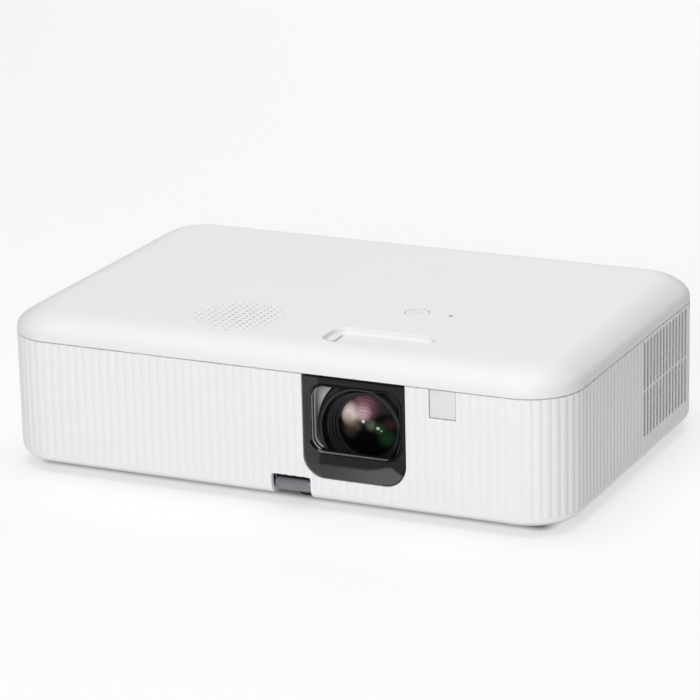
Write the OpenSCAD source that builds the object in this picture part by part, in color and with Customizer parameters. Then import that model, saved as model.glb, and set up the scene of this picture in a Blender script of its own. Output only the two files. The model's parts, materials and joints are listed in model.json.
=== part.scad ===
// Home projector: a flat white box with a smooth lid, a fluted tub, a lens window and its working insides.
// X runs along the front, Y runs from the front to the back, Z is up. The feet stand on z = 0.

/* [Case] */
// Width of the case over the flutes
case_w = 320; // [300:1:360]
// Depth of the case over the flutes
case_d = 211; // [200:1:250]
// Height of the case without its feet
case_h = 82; // [80:0.5:100]
// Radius of the upright corners, seen from above
corner_r = 28.4; // [26:0.2:32]
// Thickness of the moulded walls
wall = 2.6; // [2:0.1:3]
// Height of the lid, from the seam to the top
lid_h = 13.7; // [12.5:0.1:14.5]
// Open line between tub and lid
seam_gap = 0.5; // [0.3:0.1:0.8]
// Radius of the round between the tub's walls and its underside
base_round = 7.4; // [5:0.1:9]
// Gap under the case that the feet leave
foot_clear = 4.5; // [3.5:0.1:6]

/* [Lid crown] */
// How far in from the wall the lid's crown turns flat
crown_reach = 20; // [17:0.5:22]
// How far below the top the crown starts
crown_rise = 11.9; // [11:0.1:12.5]
// Radius of the crown next to the wall
crown_side_r = 7; // [6:0.1:8]

/* [Flutes] */
// Number of upright flutes round the tub, an even number
flute_count = 208; // [160:2:240]
// Depth of the groove between two flutes
flute_depth = 0.5; // [0.2:0.05:0.8]

/* [Lens window] */
// Middle of the lens and its window, from the middle of the case
lens_x = 46.3; // [40:0.1:50]
// Height of the lens axis above the case's underside
lens_h = 38; // [36:0.1:40]
// Width of the window notch in the tub's front
window_w = 57.6; // [57:0.1:59]
// Height of the window's sill above the case's underside
window_sill = 13.2; // [12:0.1:15]
// Radius of the window's lower corners
window_corner = 12; // [8:0.5:14]
// Width of the opening in the black surround
mouth_w = 48.8; // [46:0.1:50]
// Lower edge of that opening above the case's underside
mouth_low = 26.7; // [25:0.1:28]
// Height of the black bar between that opening and the seam
mouth_bar = 6.3; // [5.5:0.1:8]
// Corner radius of that opening
mouth_corner = 7; // [4:0.5:8]

/* [Lens] */
// Radius of the front lens
glass_r = 17; // [16:0.1:17.4]
// Outer radius of the focus ring
focus_ring_r = 26.4; // [26:0.1:26.5]
// Radius of the fixed lens tube
tube_r = 24; // [23.8:0.1:24.2]
// Running clearance between ring, tube and barrel
running_gap = 0.08; // [0.04:0.01:0.1]
// Front of the focus ring's hood behind the case's front
ring_setback = 8.1; // [8:0.1:9]

/* [Lens door] */
// Travel of the sliding lens door
door_travel = 49.6; // [49:0.1:49.8]
// Thickness of the door
door_t = 1.6; // [1.4:0.1:1.8]
// Width of the finger recess in the lid
recess_w = 57; // [56:0.5:60]
// Depth of that recess from front to back
recess_d = 24; // [20:0.5:26]
// How deep the recess is sunk into the lid
recess_sink = 3; // [2.5:0.1:3.2]

/* [Lid details] */
// Pitch of the speaker holes
hole_pitch = 4.05; // [3.5:0.05:4.5]
// Diameter of a speaker hole
hole_d = 1.5; // [1:0.1:2]
// Radius of the field of speaker holes
grille_r = 25.4; // [20:0.1:28]
// Diameter of the power button
button_d = 13.2; // [11:0.1:15]
// Diameter of the status light
light_d = 2; // [1.5:0.1:3]

/* [Vents] */
// Number of exhaust slots in the right wall
slot_count = 14; // [8:1:14]
// Width of one slot
slot_w = 2.3; // [1.5:0.1:3]
// Lower end of the slots above the case's underside
slot_low = 14; // [12:0.5:20]
// Solid strip between the slots and the seam
slot_bar = 2.3; // [2:0.1:8]

/* [Foot] */
// Travel of the adjustable front foot
foot_travel = 22; // [15:0.5:22]
// Width of the square foot post
post_w = 12.6; // [11:0.1:13]
// Radius of the front foot's rubber pad
pad_r = 8; // [7:0.1:9]
// Pitch of the teeth on the foot post
tooth_pitch = 2.5; // [2:0.1:3]

/* [Ceiling mount] */
// Spacing of the threaded inserts along the width
mount_x = 160; // [156:1:170]
// Spacing of the threaded inserts from front to back
mount_y = 100; // [90:1:110]
// Bore radius of a threaded insert
insert_r = 1.65; // [1.2:0.05:2]

/* [Hidden] */
$fn = 96;
white = "white";
black = [0.08, 0.08, 0.085];

front = -case_d / 2;
back = case_d / 2;
fit = 0.2;                                    // clearance between two moulded pieces
flat_w = case_w - 2 * corner_r;               // straight length of the front
flat_d = case_d - 2 * corner_r;               // straight length of a side
arc_len = PI * corner_r / 2;
perimeter = 2 * (flat_w + flat_d) + 4 * arc_len;
flute_pitch = perimeter / flute_count;
flute_steps = 4;                              // flat strips in one flute

seam_h = case_h - lid_h;
mouth_high = seam_h - mouth_bar;
slot_high = seam_h - slot_bar;

crown_top_r = (pow(crown_reach - crown_side_r, 2) + pow(crown_rise, 2) - pow(crown_side_r, 2))
    / (2 * (crown_rise - crown_side_r));
lid_z = seam_h + seam_gap / 2;
tub_z = seam_h - seam_gap / 2;
ceiling = case_h - wall;                      // underside of the lid's flat top

recess_x = lens_x + 2.2;
recess_y = front + 16.6 + recess_d / 2;
recess_r = 8;
recess_round = 2.6;                           // between the recess's wall and its floor
recess_floor = case_h - recess_sink;
recess_wall = 2;

key_z = case_h - 12;                          // underside of the key board
button_x = 48.4;
button_y = front + 77.2;
light_x = 67.3;
light_y = front + 77.7;
grille_x = -36.2;
grille_y = front + 40;

// Planes of the lens window, from the case's front backwards
bezel_front = front + 0.5;
bezel_back = front + 4;
door_front = bezel_back + 0.4;
door_back = door_front + door_t;
track_front = door_back + 0.3;
track_back = track_front + 1.4;
bezel_face = front + 2.5;
tunnel_r = 27.2;
shroud_back = front + 16.9;
door_w = mouth_w + 1.4;
door_open_x = lens_x + door_w / 2 - door_travel - door_w;   // door's left edge when it is open
door_low = mouth_low - 2.4;
door_high = mouth_high + 2.2;
knob_w = 4;
knob_x = recess_x - door_travel / 2;
knob_y = recess_y - recess_d / 2 + 5;
arm_x0 = 13;
arm_x1 = 21;
arm_low = tub_z + 2.45;                       // the door's arm crosses above the tub's rim
arm_high = arm_low + 2;
slider_low = recess_floor - recess_wall - 1.6;  // underside of the plate below the recess
slider_high = recess_floor - recess_wall - fit;
slider_x0 = 11;
slider_x1 = 77;

// Front foot and its release lever
lever_x0 = -0.5;
lever_x1 = 20.9;
lever_low = 4.6;
lever_high = 10.6;
lever_front = front + 2.5;
notch_top = 12.6;
foot_x = 10.5;
foot_y = front + 26;
pivot_y = front + 13;
pivot_z = 17;
post_top = 44;
guide_wall = 1.8;
guide_top = 30;
guide_w = post_w + 2 * (fit + guide_wall);

rear_foot_x = case_w / 2 - 40;
rear_foot_y = case_d / 2 - 23.5;
pad_t = 3;                                    // thickness of a foot's pad

receiver_x0 = 88.3;                           // window of the remote receiver
receiver_x1 = 102.8;
receiver_low = seam_h - 15.1;
lock_x = case_w / 2 - 55;

post_x = case_w / 2 - 22;                     // corner posts that the case screws go through
post_y = case_d / 2 - 21.5;
post_r = 5;
post_h = seam_h - 8.3;
first_groove = ceil((flat_w / 2 + arc_len) / flute_pitch - 0.5);
slot_last = floor((post_y - post_r - 3.5 + flat_w / 2 + arc_len + flat_d / 2) / flute_pitch - 0.5)
    - first_groove;
slot_first = slot_last - slot_count + 1;      // groove of the front-most exhaust slot

// Light engine, lamp and fans
board_z = 10;
board_t = 1.6;
tray_low = 11;
tray_high = seam_h - 3.8;
tray_wall = 2.2;
tray_x0 = -22;
tray_x1 = case_w / 2 - 64;
tray_y0 = -24;
tray_y1 = 66;
// Lens parts, as distances behind the case's front
tube_front = 15.5;
tube_back = tray_y0 - front;
hood_r = 23.4;
barrel_front = 15.2;
nose_front = 11.5;                            // front of the ring that holds the glass
nose_r = 20;
flange_screw_r = 18.6;
barrel_r = tube_r - 1.8 - running_gap;
glass_front = 16.1;                           // crown of the glass
glass_curve = 34;

prism_y = -2;
prism_w = 24;
beam_y = 44;
panel_gap = 1.6;                              // from the prism cube to a panel, and a panel's thickness
panel_t = 2.4;
mirror_l = 26.5;
left_mirror_x = tray_x0 + 16;
right_mirror_x = (lens_x + prism_w / 2 + panel_gap + panel_t + tray_x1 - tray_wall) / 2;
relay_x = (lens_x + right_mirror_x) / 2;      // relay lens between the two right-hand mirrors
lamp_x0 = tray_x1 + 0.5;
lamp_x1 = lamp_x0 + 35.5;
lamp_y0 = beam_y - 23;
lamp_y1 = beam_y + 24;
fan_x0 = case_w / 2 - 26;
fan_x1 = fan_x0 + 15;
fan_y = beam_y + 1;
fan_z = 40;
fan_w = 52;
fan_r = 24;
blower_x = -case_w / 2 + 36;
blower_y = -3;
blower_w = 50;
blower_low = 8;
blower_h = 22;
filter_y = 44;                                // half length of the filter opening
filter_low = 12;
filter_high = seam_h - 6.3;

panel_x0 = -case_w / 2 + 32;
panel_x1 = 66;
panel_low = 9;
panel_high = seam_h - 12.3;

// Speaker, hung from the lid
speaker_top = ceiling - 1.5;                  // clear of the crown's inside
speaker_rim = case_h - 16;                    // underside of the basket's rim
speaker_back = speaker_rim - 8;               // rear of its magnet
ear_r = 33;                                   // how far out its screw ears stand
ear_top = speaker_rim + 8;

// Sockets on the rear panel
hdmi_x = panel_x0 + 24;
usb_x = panel_x0 + 50;
service_x = panel_x0 + 73;
inlet_x = panel_x1 - 30;
inlet_z = 30;
port_z = board_z + board_t;
port_y = back - 1.2;

// Circuit boards: low corner, high corner and how far in their screws stand
main_x0 = -case_w / 2 + 34;
main_x1 = tray_x0 - 8;
main_y1 = back - 10.5;
main_y0 = main_y1 - 62;
power_x0 = -case_w / 2 + 33;
power_x1 = tray_x0 + 11;
power_y0 = front + 14.5;
power_y1 = power_y0 + 50;
screw_in = 5;

// ---------- Shared shapes ----------

// A rectangle with round corners, centred on the origin
module rounded_rect(w, d, r) {
    square([w, d - 2 * r], center = true);
    square([w - 2 * r, d], center = true);
    for (x = [-1, 1], y = [-1, 1])
        translate([x * (w / 2 - r), y * (d / 2 - r)])
            circle(r);
}

// A box with round upright corners, centred in plan
module slab(w, d, h, r) {
    linear_extrude(h)
        rounded_rect(w, d, r);
}

// Raises what is drawn from the case's underside to its place above the feet
module lift() {
    translate([0, 0, foot_clear])
        children();
}

// Stands a flat outline, drawn as width and height, upright across Y from y0 to y1
module upright(y0, y1) {
    translate([0, y1, 0])
        rotate([90, 0, 0])
            linear_extrude(y1 - y0)
                children();
}

// A block from its low corner to its high corner
module block(low, high) {
    translate(low)
        cube(high - low);
}

// Sweeps an edge profile, drawn outwards from the corner axis, round a rectangle with corners of radius r
module edge_sweep(w, d, r, z0, z1) {
    for (k = [0:3])
        translate([(k == 0 || k == 3 ? 1 : -1) * (w / 2 - r), (k < 2 ? 1 : -1) * (d / 2 - r), 0])
            rotate([0, 0, 90 * k])
                rotate_extrude(angle = 90)
                    children();
    for (side = [0, 180])
        rotate([0, 0, side]) {
            translate([w / 2 - r, d / 2 - r, 0])
                rotate([90, 0, 0])
                    linear_extrude(d - 2 * r)
                        children();
            translate([-w / 2 + r, d / 2 - r, 0])
                rotate([0, 0, 90])
                    rotate([90, 0, 0])
                        linear_extrude(w - 2 * r)
                            children();
        }
    translate([-w / 2 + r, -d / 2 + r, z0])
        cube([w - 2 * r, d - 2 * r, z1 - z0]);
}

// Edge profile of a wall that turns into a floor with one round
module tub_profile(r, round_r, z0, z1) {
    translate([0, z0 + round_r])
        square([r, z1 - z0 - round_r]);
    translate([0, z0])
        square([r - round_r, z1 - z0]);
    intersection() {
        translate([r - round_r, z0 + round_r])
            circle(round_r);
        translate([0, z0])
            square([r, z1 - z0]);
    }
}

// Edge profile of the lid's crown: a small round by the wall that runs into a large one, inset by t
module crown_profile(t, z0) {
    small_c = [corner_r - crown_side_r, case_h - crown_rise];
    large_c = [corner_r - crown_reach, case_h - crown_top_r];
    lean = (small_c - large_c) / norm(small_c - large_c);
    joint = small_c + (crown_side_r - t) * lean;
    top = case_h - t;
    translate([0, z0])
        square([corner_r - t, small_c.y - z0]);
    translate([0, z0])
        square([large_c.x, top - z0]);
    intersection() {
        translate(small_c)
            circle(crown_side_r - t);
        translate([joint.x, small_c.y])
            square([crown_side_r, top - small_c.y]);
    }
    intersection() {
        translate(large_c)
            circle(crown_top_r - t);
        translate([large_c.x, z0])
            square([joint.x - large_c.x, top - z0]);
    }
}

// Where the point at distance s along the tub's outline lies: [x, y, direction of its outward normal]
function on_arc(x, y, start, s) =
    let (a = start + s / corner_r * 180 / PI) [x + corner_r * cos(a), y + corner_r * sin(a), a];
function outline_point(s) =
    s < flat_w / 2 ? [s, front, -90]
    : s < flat_w / 2 + arc_len ? on_arc(flat_w / 2, -flat_d / 2, -90, s - flat_w / 2)
    : s < flat_w / 2 + arc_len + flat_d ? [case_w / 2, s - flat_w / 2 - arc_len - flat_d / 2, 0]
    : s < flat_w / 2 + 2 * arc_len + flat_d
        ? on_arc(flat_w / 2, flat_d / 2, 0, s - flat_w / 2 - arc_len - flat_d)
    : [perimeter / 2 - s, back, 90];

// Outline of the tub: convex flutes with a sharp groove between each pair
function flute_point(s, inset) =
    let (half = s > perimeter / 2, p = outline_point(half ? perimeter - s : s))
        [(half ? -1 : 1) * (p.x - inset * cos(p.z)), p.y - inset * sin(p.z)];
module fluted_outline() {
    polygon([
        for (k = [0:flute_count - 1], j = [0:flute_steps - 1])
            flute_point((k + 0.5 + j / flute_steps) * flute_pitch,
                flute_depth * pow(2 * j / flute_steps - 1, 2))
    ]);
}

// Place of groove k on the right wall, counted from the front
function groove_y(k) =
    (first_groove + k + 0.5) * flute_pitch - flat_w / 2 - arc_len - flat_d / 2;

// A round bar from y0 to y1
module bar_y(x, z, r, y0, y1) {
    translate([x, y1, z])
        rotate([90, 0, 0])
            cylinder(h = y1 - y0, r = r);
}

// A round bar from x0 to x1
module bar_x(y, z, r, x0, x1) {
    translate([x0, y, z])
        rotate([0, 90, 0])
            cylinder(h = x1 - x0, r = r);
}

// An upright round post from z0 to z1
module post(x, y, r, z0, z1) {
    translate([x, y, z0])
        cylinder(h = z1 - z0, r = r);
}

// Turns a flat profile, drawn as radius and distance from the case's front, round the lens axis
module lens_turn() {
    translate([lens_x, front, lens_h])
        rotate([-90, 0, 0])
            rotate_extrude()
                children();
}

// ---------- Tub ----------

module tub_shell() {
    difference() {
        intersection() {
            linear_extrude(tub_z)
                fluted_outline();
            edge_sweep(case_w + 0.1, case_d + 0.1, corner_r + 0.05, 0, tub_z + 1)
                tub_profile(corner_r + 0.05, base_round, 0, tub_z + 1);
        }
        edge_sweep(case_w - 2 * wall, case_d - 2 * wall, corner_r - wall, wall, case_h)
            tub_profile(corner_r - wall, base_round - wall, wall, case_h);
    }
}

module tub_posts() {
    for (x = [-1, 1], y = [-1, 1]) {
        post(x * post_x, y * post_y, post_r, 1, post_h);
        post(x * mount_x / 2, y * mount_y / 2, 4.6, 1, 9.5);
    }
    for (p = [[tray_x0 + 6, tray_y0 + 6], [tray_x1 - 8, tray_y0 + 6], [tray_x0 + 6, tray_y1 - 6],
              [tray_x1 - 40, tray_y1 - 6]])
        post(p.x, p.y, 4, 1, tray_low);
    for (x = [main_x0 + screw_in, main_x1 - screw_in], y = [main_y0 + screw_in, main_y1 - screw_in])
        post(x, y, 3, 1, board_z);
    for (x = [power_x0 + screw_in, power_x1 - screw_in], y = [power_y0 + screw_in, power_y1 - screw_in])
        post(x, y, 3, 1, board_z);
    for (x = [-1, 1], y = [-1, 1])
        post(blower_x + x * (blower_w / 2 - 5), blower_y + y * (blower_w / 2 - 5), 3, 1, blower_low);
    for (y = [-1, 1])
        block([fan_x0 + 2, fan_y + y * 19 - 1.2, 1], [fan_x1 - 2, fan_y + y * 19 + 1.2, fan_z - fan_w / 2]);
}

// Tongues along the straight walls that stand up past the seam and line the lid up
module tub_tongues() {
    for (t = [[wall - 0.4, 1.8, seam_h - 7.8, tub_z - 2], [wall + fit, 1.3, seam_h - 7.8, lid_z + 2]]) {
        block([-flat_w / 2 + 6, back - t[0] - t[1], t[2]], [flat_w / 2 - 6, back - t[0], t[3]]);
        block([-flat_w / 2 + 6, front + t[0], t[2]], [door_open_x - 6, front + t[0] + t[1], t[3]]);
        block([receiver_x1 + 5, front + t[0], t[2]], [flat_w / 2 - 6, front + t[0] + t[1], t[3]]);
        block([case_w / 2 - t[0] - t[1], -flat_d / 2 + 6, t[2]],
            [case_w / 2 - t[0], groove_y(slot_first) - 6, t[3]]);
    }
}

// Low stiffening ribs across the floor
module floor_ribs() {
    for (x = [-100, -60, -30])
        block([x - 0.8, front + 9.5, 1], [x + 0.8, back - 9.5, 6]);
    for (y = [-30, 30])
        block([-case_w / 2 + 10, y - 0.8, 1], [-26, y + 0.8, 6]);
    block([30, foot_y + guide_w / 2 + 10, 1], [31.6, back - 9.5, 6]);
}

// The lamp's footprint, grown on every side
module lamp_footprint(grow, z0, z1) {
    block([lamp_x0 - grow, lamp_y0 - grow, z0], [lamp_x1 + grow, lamp_y1 + grow, z1]);
}

module exhaust_slots() {
    for (k = [0:slot_count - 1])
        for (part = [[slot_low, lens_h], [lens_h + 2, slot_high]])
            translate([case_w / 2 - 8, groove_y(slot_first + k) - slot_w / 2, part[0]])
                cube([10, slot_w, part[1] - part[0]]);
}

module lower_case() {
    color(white) lift() difference() {
        union() {
            tub_shell();
            tub_posts();
            tub_tongues();
            floor_ribs();
        }
        upright(front - 1, front + wall + 1)
            translate([lens_x, window_sill + window_w / 2])
                rounded_rect(window_w, window_w, window_corner);
        block([lens_x - window_w / 2, front - 1, window_sill + window_w / 2],
            [lens_x + window_w / 2, front + wall + 1, case_h]);
        block([receiver_x0, front - 1, receiver_low], [receiver_x1, front + wall + 1, case_h]);
        block([lever_x0 - 0.4, front - 1, -1], [lever_x1 + 0.4, pivot_y + 4, notch_top]);
        block([foot_x - post_w / 2 - 0.6, foot_y - post_w / 2 - 0.6, -1],
            [foot_x + post_w / 2 + 0.6, foot_y + post_w / 2 + 0.6, wall + 1]);
        exhaust_slots();
        block([-case_w / 2 - 1, -filter_y, filter_low], [-case_w / 2 + 6, filter_y, filter_high]);
        block([panel_x0, back - wall - 1, panel_low], [panel_x1, back + 1, panel_high]);
        lamp_footprint(2, -1, 1.4);
        lamp_footprint(0.6, -1, wall + 1);
        for (x = [-1, 1], y = [-1, 1]) {
            post(x * post_x, y * post_y, 1.8, -1, post_h + 1);
            post(x * post_x, y * post_y, 3.8, -1, post_h - 14);
            post(x * mount_x / 2, y * mount_y / 2, insert_r + 1, -1, 8);
        }
        for (x = [-1, 1])
            post(x * rear_foot_x, rear_foot_y, 2, -1, wall + 1);
        block([lock_x - 3.5, back - 6, 20], [lock_x + 3.5, back + 1, 23]);
        post(foot_x, foot_y + 14, 1.2, -1, wall + 1);
    }
}

// ---------- Lid ----------

module lid_shell() {
    difference() {
        edge_sweep(case_w, case_d, corner_r, lid_z, case_h)
            crown_profile(0, lid_z);
        edge_sweep(case_w, case_d, corner_r, lid_z - 1, ceiling)
            crown_profile(wall, lid_z - 1);
    }
}

module lid_bosses() {
    for (x = [-1, 1], y = [-1, 1])
        post(x * post_x, y * post_y, 4.4, post_h + 0.2, ceiling + 1);
    for (x = [button_x - 13, light_x + 5])
        post(x, button_y, 2.2, key_z + board_t, ceiling + 1);
    for (a = [0:90:180])
        post(grille_x + ear_r * cos(a), grille_y + ear_r * sin(a), 2.4, ear_top, ceiling + 1);
}

// Two rails that the door's slider runs between, with a stirrup under it
module slider_rails() {
    for (side = [-1, 1])
        block([arm_x0, knob_y + side * 5.4 - 0.6, slider_low - 0.8],
            [slider_x1 + door_travel, knob_y + side * 5.4 + 0.6, ceiling + 1]);
    block([arm_x1 + door_travel + 3, knob_y - 6, slider_low - 2],
        [arm_x1 + door_travel + 5.5, knob_y + 6, slider_low - 0.4]);
    for (side = [-1, 1])
        block([arm_x1 + door_travel + 3, knob_y + side * 5.4 - 0.6, slider_low - 2],
            [arm_x1 + door_travel + 5.5, knob_y + side * 5.4 + 0.6, slider_low]);
}

// Basin of the finger recess, with or without its wall
module basin(grow, round_r, z0, z1) {
    translate([recess_x, recess_y, 0])
        edge_sweep(recess_w + 2 * grow, recess_d + 2 * grow, recess_r + grow, z0, z1)
            tub_profile(recess_r + grow, round_r, z0, z1);
}

// Square lattice of round holes inside the grille's circle
module grille_holes() {
    n = ceil(grille_r / hole_pitch);
    for (i = [-n:n], j = [-n:n])
        if (norm([i, j]) * hole_pitch <= grille_r)
            post(grille_x + i * hole_pitch, grille_y + j * hole_pitch, hole_d / 2, ceiling - 1, case_h + 1);
}

module upper_case() {
    color(white) lift() difference() {
        union() {
            lid_shell();
            lid_bosses();
            slider_rails();
            basin(recess_wall, 1.6, recess_floor - recess_wall, ceiling + 0.5);
        }
        basin(0, recess_round, recess_floor, case_h + 3);
        block([knob_x - knob_w / 2 - 0.6, knob_y - 2.6, recess_floor - 5],
            [knob_x + knob_w / 2 + 0.6 + door_travel, knob_y + 2.6, recess_floor + 1]);
        grille_holes();
        post(button_x, button_y, button_d / 2 + 0.35, ceiling - 1, case_h + 1);
        post(light_x, light_y, light_d / 2 + 0.1, ceiling - 1, case_h + 1);
        for (x = [-1, 1], y = [-1, 1])
            post(x * post_x, y * post_y, 1.5, post_h - 1, post_h + 12);
    }
}

// ---------- Lens window ----------

// Outline of the opening in the surround, as width and height
module mouth(grow) {
    h = mouth_high - mouth_low;
    translate([lens_x, mouth_low + h / 2])
        rounded_rect(mouth_w + 2 * grow, h + 2 * grow, mouth_corner + grow);
}

// Outline of the window notch, square at the seam
module window_outline(gap) {
    w = window_w - 2 * gap;
    r = window_corner - gap;
    translate([lens_x - w / 2 + r, window_sill + gap])
        square([w - 2 * r, tub_z - window_sill - gap]);
    translate([lens_x - w / 2, window_sill + gap + r])
        square([w, tub_z - window_sill - gap - r]);
    for (x = [-1, 1])
        translate([lens_x + x * (w / 2 - r), window_sill + gap + r])
            circle(r);
}

module lens_bezel() {
    color(black) lift() difference() {
        union() {
            upright(bezel_front, bezel_back)
                window_outline(fit);
            upright(front + wall, bezel_back)
                translate([0, -1])
                    window_outline(-2);
        }
        upright(bezel_front - 1, bezel_face)
            difference() {
                window_outline(fit + 1.4);
                translate([lens_x - window_w / 2, tub_z - 1.4])
                    square([window_w, 3]);
            }
        upright(bezel_face - 1, bezel_back + 1)
            mouth(0);
        upright(bezel_face - 1, bezel_face + 0.7)
            mouth(0.7);
    }
}

// Track plate behind the sliding door, with a lip under and over the door's ends
module door_track() {
    x0 = door_open_x - 3;
    x1 = lens_x + window_w / 2 - 0.6;
    color(black) lift() difference() {
        union() {
            block([x0, track_front, door_low - 3], [x1, track_back, door_high + 2]);
            block([x0, bezel_back, door_low - 3], [x1, track_front, door_low - fit]);
            block([x0, bezel_back, door_low - 3], [x0 + 2, track_front, door_high + 2]);
            block([x0, bezel_back, door_high + fit], [arm_x0 - 2.5, track_front, door_high + 2]);
            block([x0, front + wall, door_low], [x0 + 2, bezel_back, door_high]);
            block([x1 - 2.4, bezel_back, door_low], [x1, track_front, door_high]);
        }
        upright(track_front - 1, track_back + 1)
            mouth(0.4);
    }
}

// Tunnel outline round the focus ring, square at the top
module tunnel(r) {
    translate([lens_x, lens_h])
        circle(r);
    translate([lens_x - r, lens_h])
        square([2 * r, door_high - lens_h + r - tunnel_r]);
}

// Grey tunnel that closes the space round the lens, fixed to the track
module lens_shroud() {
    color([0.62, 0.62, 0.63]) lift() difference() {
        upright(track_back, shroud_back)
            tunnel(tunnel_r + 1.5);
        upright(track_back - 1, shroud_back - 1.4)
            tunnel(tunnel_r);
        bar_y(lens_x, lens_h, focus_ring_r + 0.5, track_back, shroud_back + 1);
    }
}

module remote_window() {
    y = front + wall;
    color([0.8, 0.8, 0.82]) lift() {
        block([receiver_x0 + fit, front + 0.35, receiver_low + fit], [receiver_x1 - fit, y, tub_z]);
        block([receiver_x0 - 2, y, receiver_low - 2], [receiver_x1 + 2, y + 1.4, tub_z]);
    }
}

module receiver_board() {
    y = front + wall + 1.4;
    color([0.1, 0.35, 0.2]) lift() {
        block([receiver_x0 - 1, y + 3.6, receiver_low - 2], [receiver_x1 + 1, y + 3.6 + board_t, tub_z - 1]);
        block([receiver_x0 + 4, y, receiver_low + 3], [receiver_x0 + 10, y + 3.6, receiver_low + 10]);
    }
}

// ---------- Lens ----------

// Puts what is drawn on each screw of the tube's flange
module at_flange_screws() {
    for (a = [45:90:315])
        translate([lens_x + flange_screw_r * cos(a), 0, lens_h + flange_screw_r * sin(a)])
            children();
}

// Fixed tube with the flange that bolts it to the light engine
module lens_tube() {
    color(black) lift() difference() {
        lens_turn() {
            translate([tube_r - 1.8, tube_front])
                square([1.8, tube_back - tube_front]);
            translate([14, tube_back - 3])
                square([25.8 - 14, 3]);
            translate([15, tube_back - 34])
                square([tube_r - 16, 2.4]);
        }
        at_flange_screws()
            bar_y(0, 0, 1.7, tray_y0 - 4, tray_y0 + 1);
    }
}

module tube_screws() {
    color([0.6, 0.6, 0.62]) lift()
        at_flange_screws() {
            bar_y(0, 0, 3, tray_y0 - 5, tray_y0 - 3);
            bar_y(0, 0, 1.5, tray_y0 - 3, tray_y0 + 2);
        }
}

module rear_lens() {
    y = front + tube_back;
    color([0.6, 0.7, 0.75, 0.5]) lift() {
        intersection() {
            bar_y(lens_x, lens_h, 14.6, y, y + 8);
            translate([lens_x, y - 18, lens_h])
                sphere(r = 23.6);
        }
        intersection() {
            bar_y(lens_x, lens_h, 17, y - 31.6, y - 24);
            translate([lens_x, y - 60, lens_h])
                sphere(r = 34);
        }
    }
}

// Ring that turns on the tube, with a narrow hood that frames the glass
module focus_ring() {
    color(black) lift() lens_turn() {
        translate([hood_r - 0.9, ring_setback])
            square([0.9, tube_front - 1.2 - ring_setback]);
        translate([hood_r - 1.8, ring_setback])
            square([1, 1.6]);
        translate([tube_r - 1.6, tube_front - 3])
            square([focus_ring_r - tube_r + 1.6, 1.8]);
        translate([tube_r + running_gap, tube_front - 1.2])
            square([focus_ring_r - tube_r - running_gap, 12]);
    }
}

// Barrel that slides in the tube and seats the glass
module lens_barrel() {
    color(black) lift() lens_turn() {
        difference() {
            translate([12, barrel_front])
                square([barrel_r - 12, 24.3]);
            translate([0, barrel_front - 1])
                square([glass_r + 0.9, 11.3]);
            translate([0, barrel_front - 1])
                square([glass_r - 2, 30]);
        }
    }
}

module front_lens() {
    color([0.35, 0.2, 0.35]) lift()
        intersection() {
            bar_y(lens_x, lens_h, glass_r, front + glass_front - 0.6, front + barrel_front + 10.3);
            translate([lens_x, front + glass_front + glass_curve, lens_h])
                sphere(r = glass_curve);
        }
}

// Front ring that screws into the barrel and holds the glass, stepped on the inside
module lens_retainer() {
    color(black) lift() lens_turn()
        polygon([[nose_r, nose_front], [nose_r, barrel_front], [glass_r + 0.85, barrel_front],
            [glass_r + 0.85, glass_front + 4.1], [glass_r - 0.5, glass_front + 4.1],
            [glass_r - 0.5, nose_front + 5.4], [glass_r + 0.5, nose_front + 5.4],
            [glass_r + 0.5, nose_front + 3.2], [glass_r + 1.4, nose_front + 3.2],
            [glass_r + 1.4, nose_front + 1.4], [nose_r - 0.8, nose_front + 1.4], [nose_r - 0.8, nose_front]]);
}

// ---------- Lens door ----------

module lens_door() {
    color(black) lift()
        block([door_open_x, door_front, door_low], [door_open_x + door_w, door_back, door_high]);
}

// Arm that carries the door, the plate under the recess and the finger knob in it
module door_slider() {
    color(white) lift() {
        block([arm_x0, door_front, door_high], [arm_x1, door_back, arm_high]);
        block([arm_x0, door_front, arm_low], [arm_x1, knob_y + 1, arm_high]);
        block([arm_x0, knob_y - 3, arm_low], [arm_x1, knob_y + 1, slider_low + 0.5]);
        block([slider_x0, knob_y - 4.5, slider_low], [slider_x1, knob_y + 4.5, slider_high]);
        block([knob_x - knob_w / 2, knob_y - 2.1, slider_low],
            [knob_x + knob_w / 2, knob_y + 2.1, recess_floor + 0.5]);
        translate([knob_x, recess_y, recess_floor + 0.3])
            slab(knob_w, 13, 0.9, 1.9);
    }
}

// ---------- Lid controls ----------

module power_button() {
    color(white) lift() translate([button_x, button_y, 0]) {
        translate([0, 0, case_h - 0.5])
            cylinder(h = 0.5, r1 = button_d / 2, r2 = button_d / 2 - 0.4);
        post(0, 0, button_d / 2, ceiling - 1, case_h - 0.5);
        post(0, 0, button_d / 2 + 1.6, ceiling - 1.8, ceiling - 0.3);
        post(0, 0, 2.2, key_z + board_t + 4.7, ceiling - 1.8);
    }
}

module status_light() {
    color([0.2, 0.25, 0.3]) lift() {
        post(light_x, light_y, light_d / 2, key_z + board_t + 1.8, case_h - 0.1);
        post(light_x, light_y, light_d / 2 + 1, ceiling - 2, ceiling);
    }
}

module key_board() {
    z = key_z + board_t;
    color([0.1, 0.35, 0.2]) lift() {
        block([button_x - 18, button_y - 10, key_z], [light_x + 9, button_y + 9, z]);
        block([light_x - 1.5, light_y - 1, z], [light_x + 1.5, light_y + 1, z + 1.8]);
        block([button_x + 8, button_y + 3, z], [button_x + 16, button_y + 7, z + 3]);
    }
}

module key_switch() {
    z = key_z + board_t;
    color([0.15, 0.15, 0.16]) lift() {
        block([button_x - 3, button_y - 3, z], [button_x + 3, button_y + 3, z + 2.8]);
        post(button_x, button_y, 1.7, z + 2.8, z + 3.8);
    }
}

// ---------- Speaker ----------

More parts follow.
